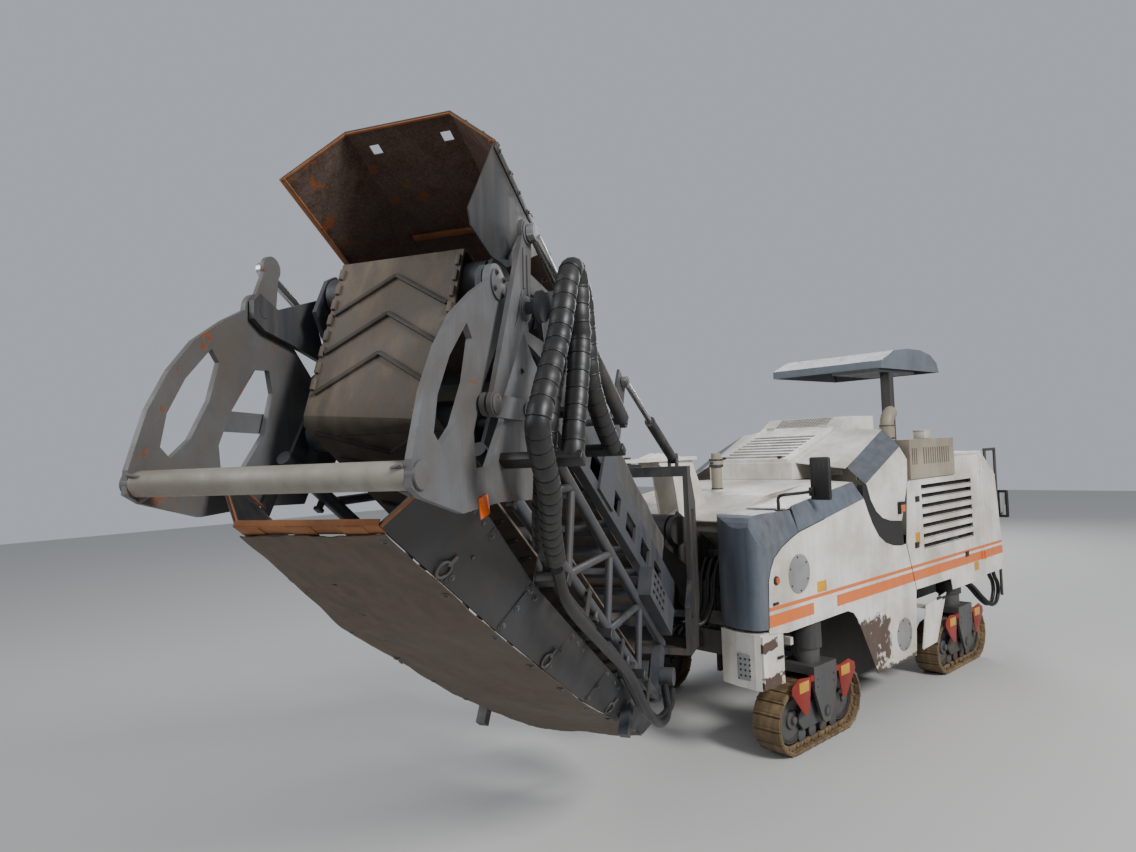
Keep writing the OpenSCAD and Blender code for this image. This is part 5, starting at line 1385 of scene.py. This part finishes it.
# operator's place: raised floor pattern, console with levers and screen, ladder treads and rails
placeFacts = {"floor": 1.4802, "ribPitch": 0.085, "first": (-2.72, -1.03), "ribs": (18, 14), "seatRoom": 0.14,
              "desk": (-1.320, -0.425, 2.409), "deskLean": radians(-24.4), "knobs": (7, 2),
              "knobPitch": (0.065, 0.075), "leverY": (-0.33, 0.40), "railY": -1.072}


def makePlace(facts):
    # tread bars welded crosswise on the floor
    seatX, seatY = seatFacts["place"]
    places = []
    for i in range(facts["ribs"][0]):
        for k in range(facts["ribs"][1]):
            x, y = (first + n * facts["ribPitch"] for first, n in zip(facts["first"], (i, k)))
            if hypot(x - seatX, y - seatY) >= facts["seatRoom"]:
                turn = turned(radians(45 if (i + k) % 2 else -45), "Z")
                places.append(at(x, y, facts["floor"] + 0.0015, turn))
    finishCopies(box((0.036, 0.010, 0.004), bevel=0.0015), places, "floorTreads", "chassis", "worn")
    # console: desk with screen, rows of knobs and two levers under rubber boots
    desk = at(*facts["desk"], turned(facts["deskLean"], "Y"))
    finishPiece([box((0.235, 1.08, 0.014), (0, 0, 0.006), 0.004)], "consoleDesk", "chassis", "dark", desk)
    finishPiece([box((0.120, 0.20, 0.010), (0.020, 0.22, 0.014), 0.004)], "consoleScreen", "chassis", "hole", desk)
    ahead, aside = facts["knobPitch"]
    controls = [rod(0.013, 0.020, (-0.060 + ahead * k, -0.42 + aside * i, 0.022), sides=16, bevel=0.003)
                for i in range(facts["knobs"][0]) if abs(i - 1.5) >= 1 for k in range(facts["knobs"][1])]
    for y in facts["leverY"]:
        controls += [rod(0.038, 0.030, (-0.035, y, 0.026), bevel=0.010),
                     rod(0.009, 0.095, (-0.035, y, 0.080), sides=12),
                     rod(0.020, 0.050, (-0.035, y, 0.130), bevel=0.008, sides=18)]
    finishPiece(controls, "consoleControls", "chassis", "rubber", desk)
    # ladder treads, rail sockets, mid rail and ribs of the platform
    steel = [box((0.040, 0.380, 0.012), (-2.813, -0.530, z + 0.012)) for z in (0.480, 0.730, 0.980, 1.230)]
    steel += [rod(0.026, 0.020, (x, facts["railY"], 1.4915), bevel=0.004) for x in (-2.770, -1.950, -1.180)]
    steel.append(rod(0.013, 1.56, (-1.975, facts["railY"], 1.92), axis="X", sides=16))
    steel += [box((0.030, 0.010, 0.98), (x, -1.0865, 0.985 + 0.43)) for x in (-2.70, -2.30, -1.90, -1.50)]
    finishPiece(steel, "platformSteel", "chassis", "dark")


makePlace(placeFacts)
print("operator's place")


# rear face: grille with bars, lights; tow eyes; front opening: blocks, fittings and thin pipes
# the rear wall leans from its top to its foot, each x and z
endFacts = {"rearTop": (-2.660, 2.050), "lean": (0.160, 1.150), "bars": 11, "barPitch": 0.060, "firstBar": 1.24,
            "grilleY": 0.665, "grilleZ": 1.545, "lampZ": 1.06, "lampY": (0.32, 1.02),
            "eye": (0.042, 0.013, 28, 10), "pipe": 0.009}


def makeEnds(facts):
    topX, topZ = facts["rearTop"]
    lean = turned(atan2(*facts["lean"]), "Y")

    def onRear(size, y, z, out, bevel=0.003):
        x = topX - (topZ - z) * facts["lean"][0] / facts["lean"][1]
        return box(size, bevel=bevel, turn=at(x - out, y, z, lean))
    middleY, middleZ, lampZ = facts["grilleY"], facts["grilleZ"], facts["lampZ"]
    grille = [onRear((0.010, 0.56, 0.022), middleY, facts["firstBar"] + i * facts["barPitch"], 0.006)
              for i in range(facts["bars"])]
    grille += [onRear((0.014, 0.026, 0.74), y, middleZ, 0.005) for y in (0.375, 0.955)]
    grille += [onRear((0.014, 0.60, 0.026), middleY, z, 0.005) for z in (1.185, 1.905)]
    finishPiece(grille, "rearGrille", "chassis", "white")
    # a black plate behind the grille as painted shade, and black blocks under the lights
    shade = [onRear((0.004, 0.575, 0.715), middleY, middleZ, 0.001, 0.001)]
    shade += [onRear((0.030, 0.105, 0.095), y, lampZ, 0.014, 0.008) for y in facts["lampY"]]
    finishPiece(shade, "rearShade", "chassis", "hole")
    finishPiece([onRear((0.012, 0.085, 0.075), y, lampZ, 0.030, 0.005) for y in facts["lampY"]],
                "rearLights", "chassis", "red")
    places = [at(x, side * y, z, turned(pi / 2, "X"))
              for x, y, z in ((-2.735, 1.045, 0.985), (2.115, 0.60, 0.815)) for side in (1, -1)]
    finishCopies(torus(*facts["eye"]), places, "towEyes", "chassis", "dark")
    parts = [box((0.030, 0.46, 0.13), (2.043, 0.49, 1.58), 0.006),
             box((0.060, 0.16, 0.12), (2.055, 0.475, 1.07), 0.008)]
    parts += [rod(0.028, 0.036, (2.070, route[0], 1.565), axis="X", sides=6) for route in slewRoutes]
    for y, z in ((0.40, 1.22), (0.46, 1.30), (0.41, 1.40)):
        parts.append(rod(0.030, 0.050, (2.050, y, z), axis="X", bevel=0.006))
        parts.append(rod(0.016, 0.030, (2.085, y, z), axis="X", sides=6))
    finishPiece(parts, "frontBlocks", "chassis", "worn")
    pipes = [makeHose([(2.048, y, top), (2.065, y, top - 0.20), (2.060, y + 0.012, 1.30), (2.068, y, 1.05),
                       (2.062, y - 0.01, 0.98)], facts["pipe"])
             for y, top in ((0.385, 1.72), (0.445, 1.66), (0.590, 1.74))]
    finishPiece(pipes, "frontPipes", "chassis", "rubber")


makeEnds(endFacts)
print("ends")


# floor and soft light; each light: place, aim, power, size
stageFacts = {"floorSize": 60, "floorColor": (0.50, 0.49, 0.475, 1), "floorRough": 0.9,
              "sky": (0.80, 0.86, 0.95, 1), "skyPower": 0.52,
              "lights": {"keyLight": ((3, 13, 9.5), (0.5, 0, 1.2), 2300, 3.5),
                         "fillLight": ((13, -2, 7), (3, 1, 1.5), 520, 6),
                         "rearLight": ((-12, -6, 8), (-1, 0, 1.5), 900, 6)}}


def makeStage(facts):
    pickNone()
    bpy.ops.mesh.primitive_plane_add(size=facts["floorSize"], location=(0, 0, 0))
    floor = bpy.context.object
    floor.name = "floor"
    material, _, shader = startMaterial("floorPaint")
    shader.inputs["Base Color"].default_value = facts["floorColor"]
    shader.inputs["Roughness"].default_value = facts["floorRough"]
    floor.data.materials.append(material)
    world = bpy.data.worlds.new("studio")
    bpy.context.scene.world = world
    world.use_nodes = True
    sky = world.node_tree.nodes["Background"].inputs
    sky[0].default_value, sky[1].default_value = facts["sky"], facts["skyPower"]
    for name, (place, aim, power, size) in facts["lights"].items():
        light = intoScene(bpy.data.objects.new(name, bpy.data.lights.new(name, "AREA")))
        light.data.energy, light.data.size = power, size
        facing = (Vector(aim) - Vector(place)).to_track_quat("-Z", "Y").to_matrix().to_4x4()
        light.matrix_world = at(*place, facing)


makeStage(stageFacts)
print("stage ready")
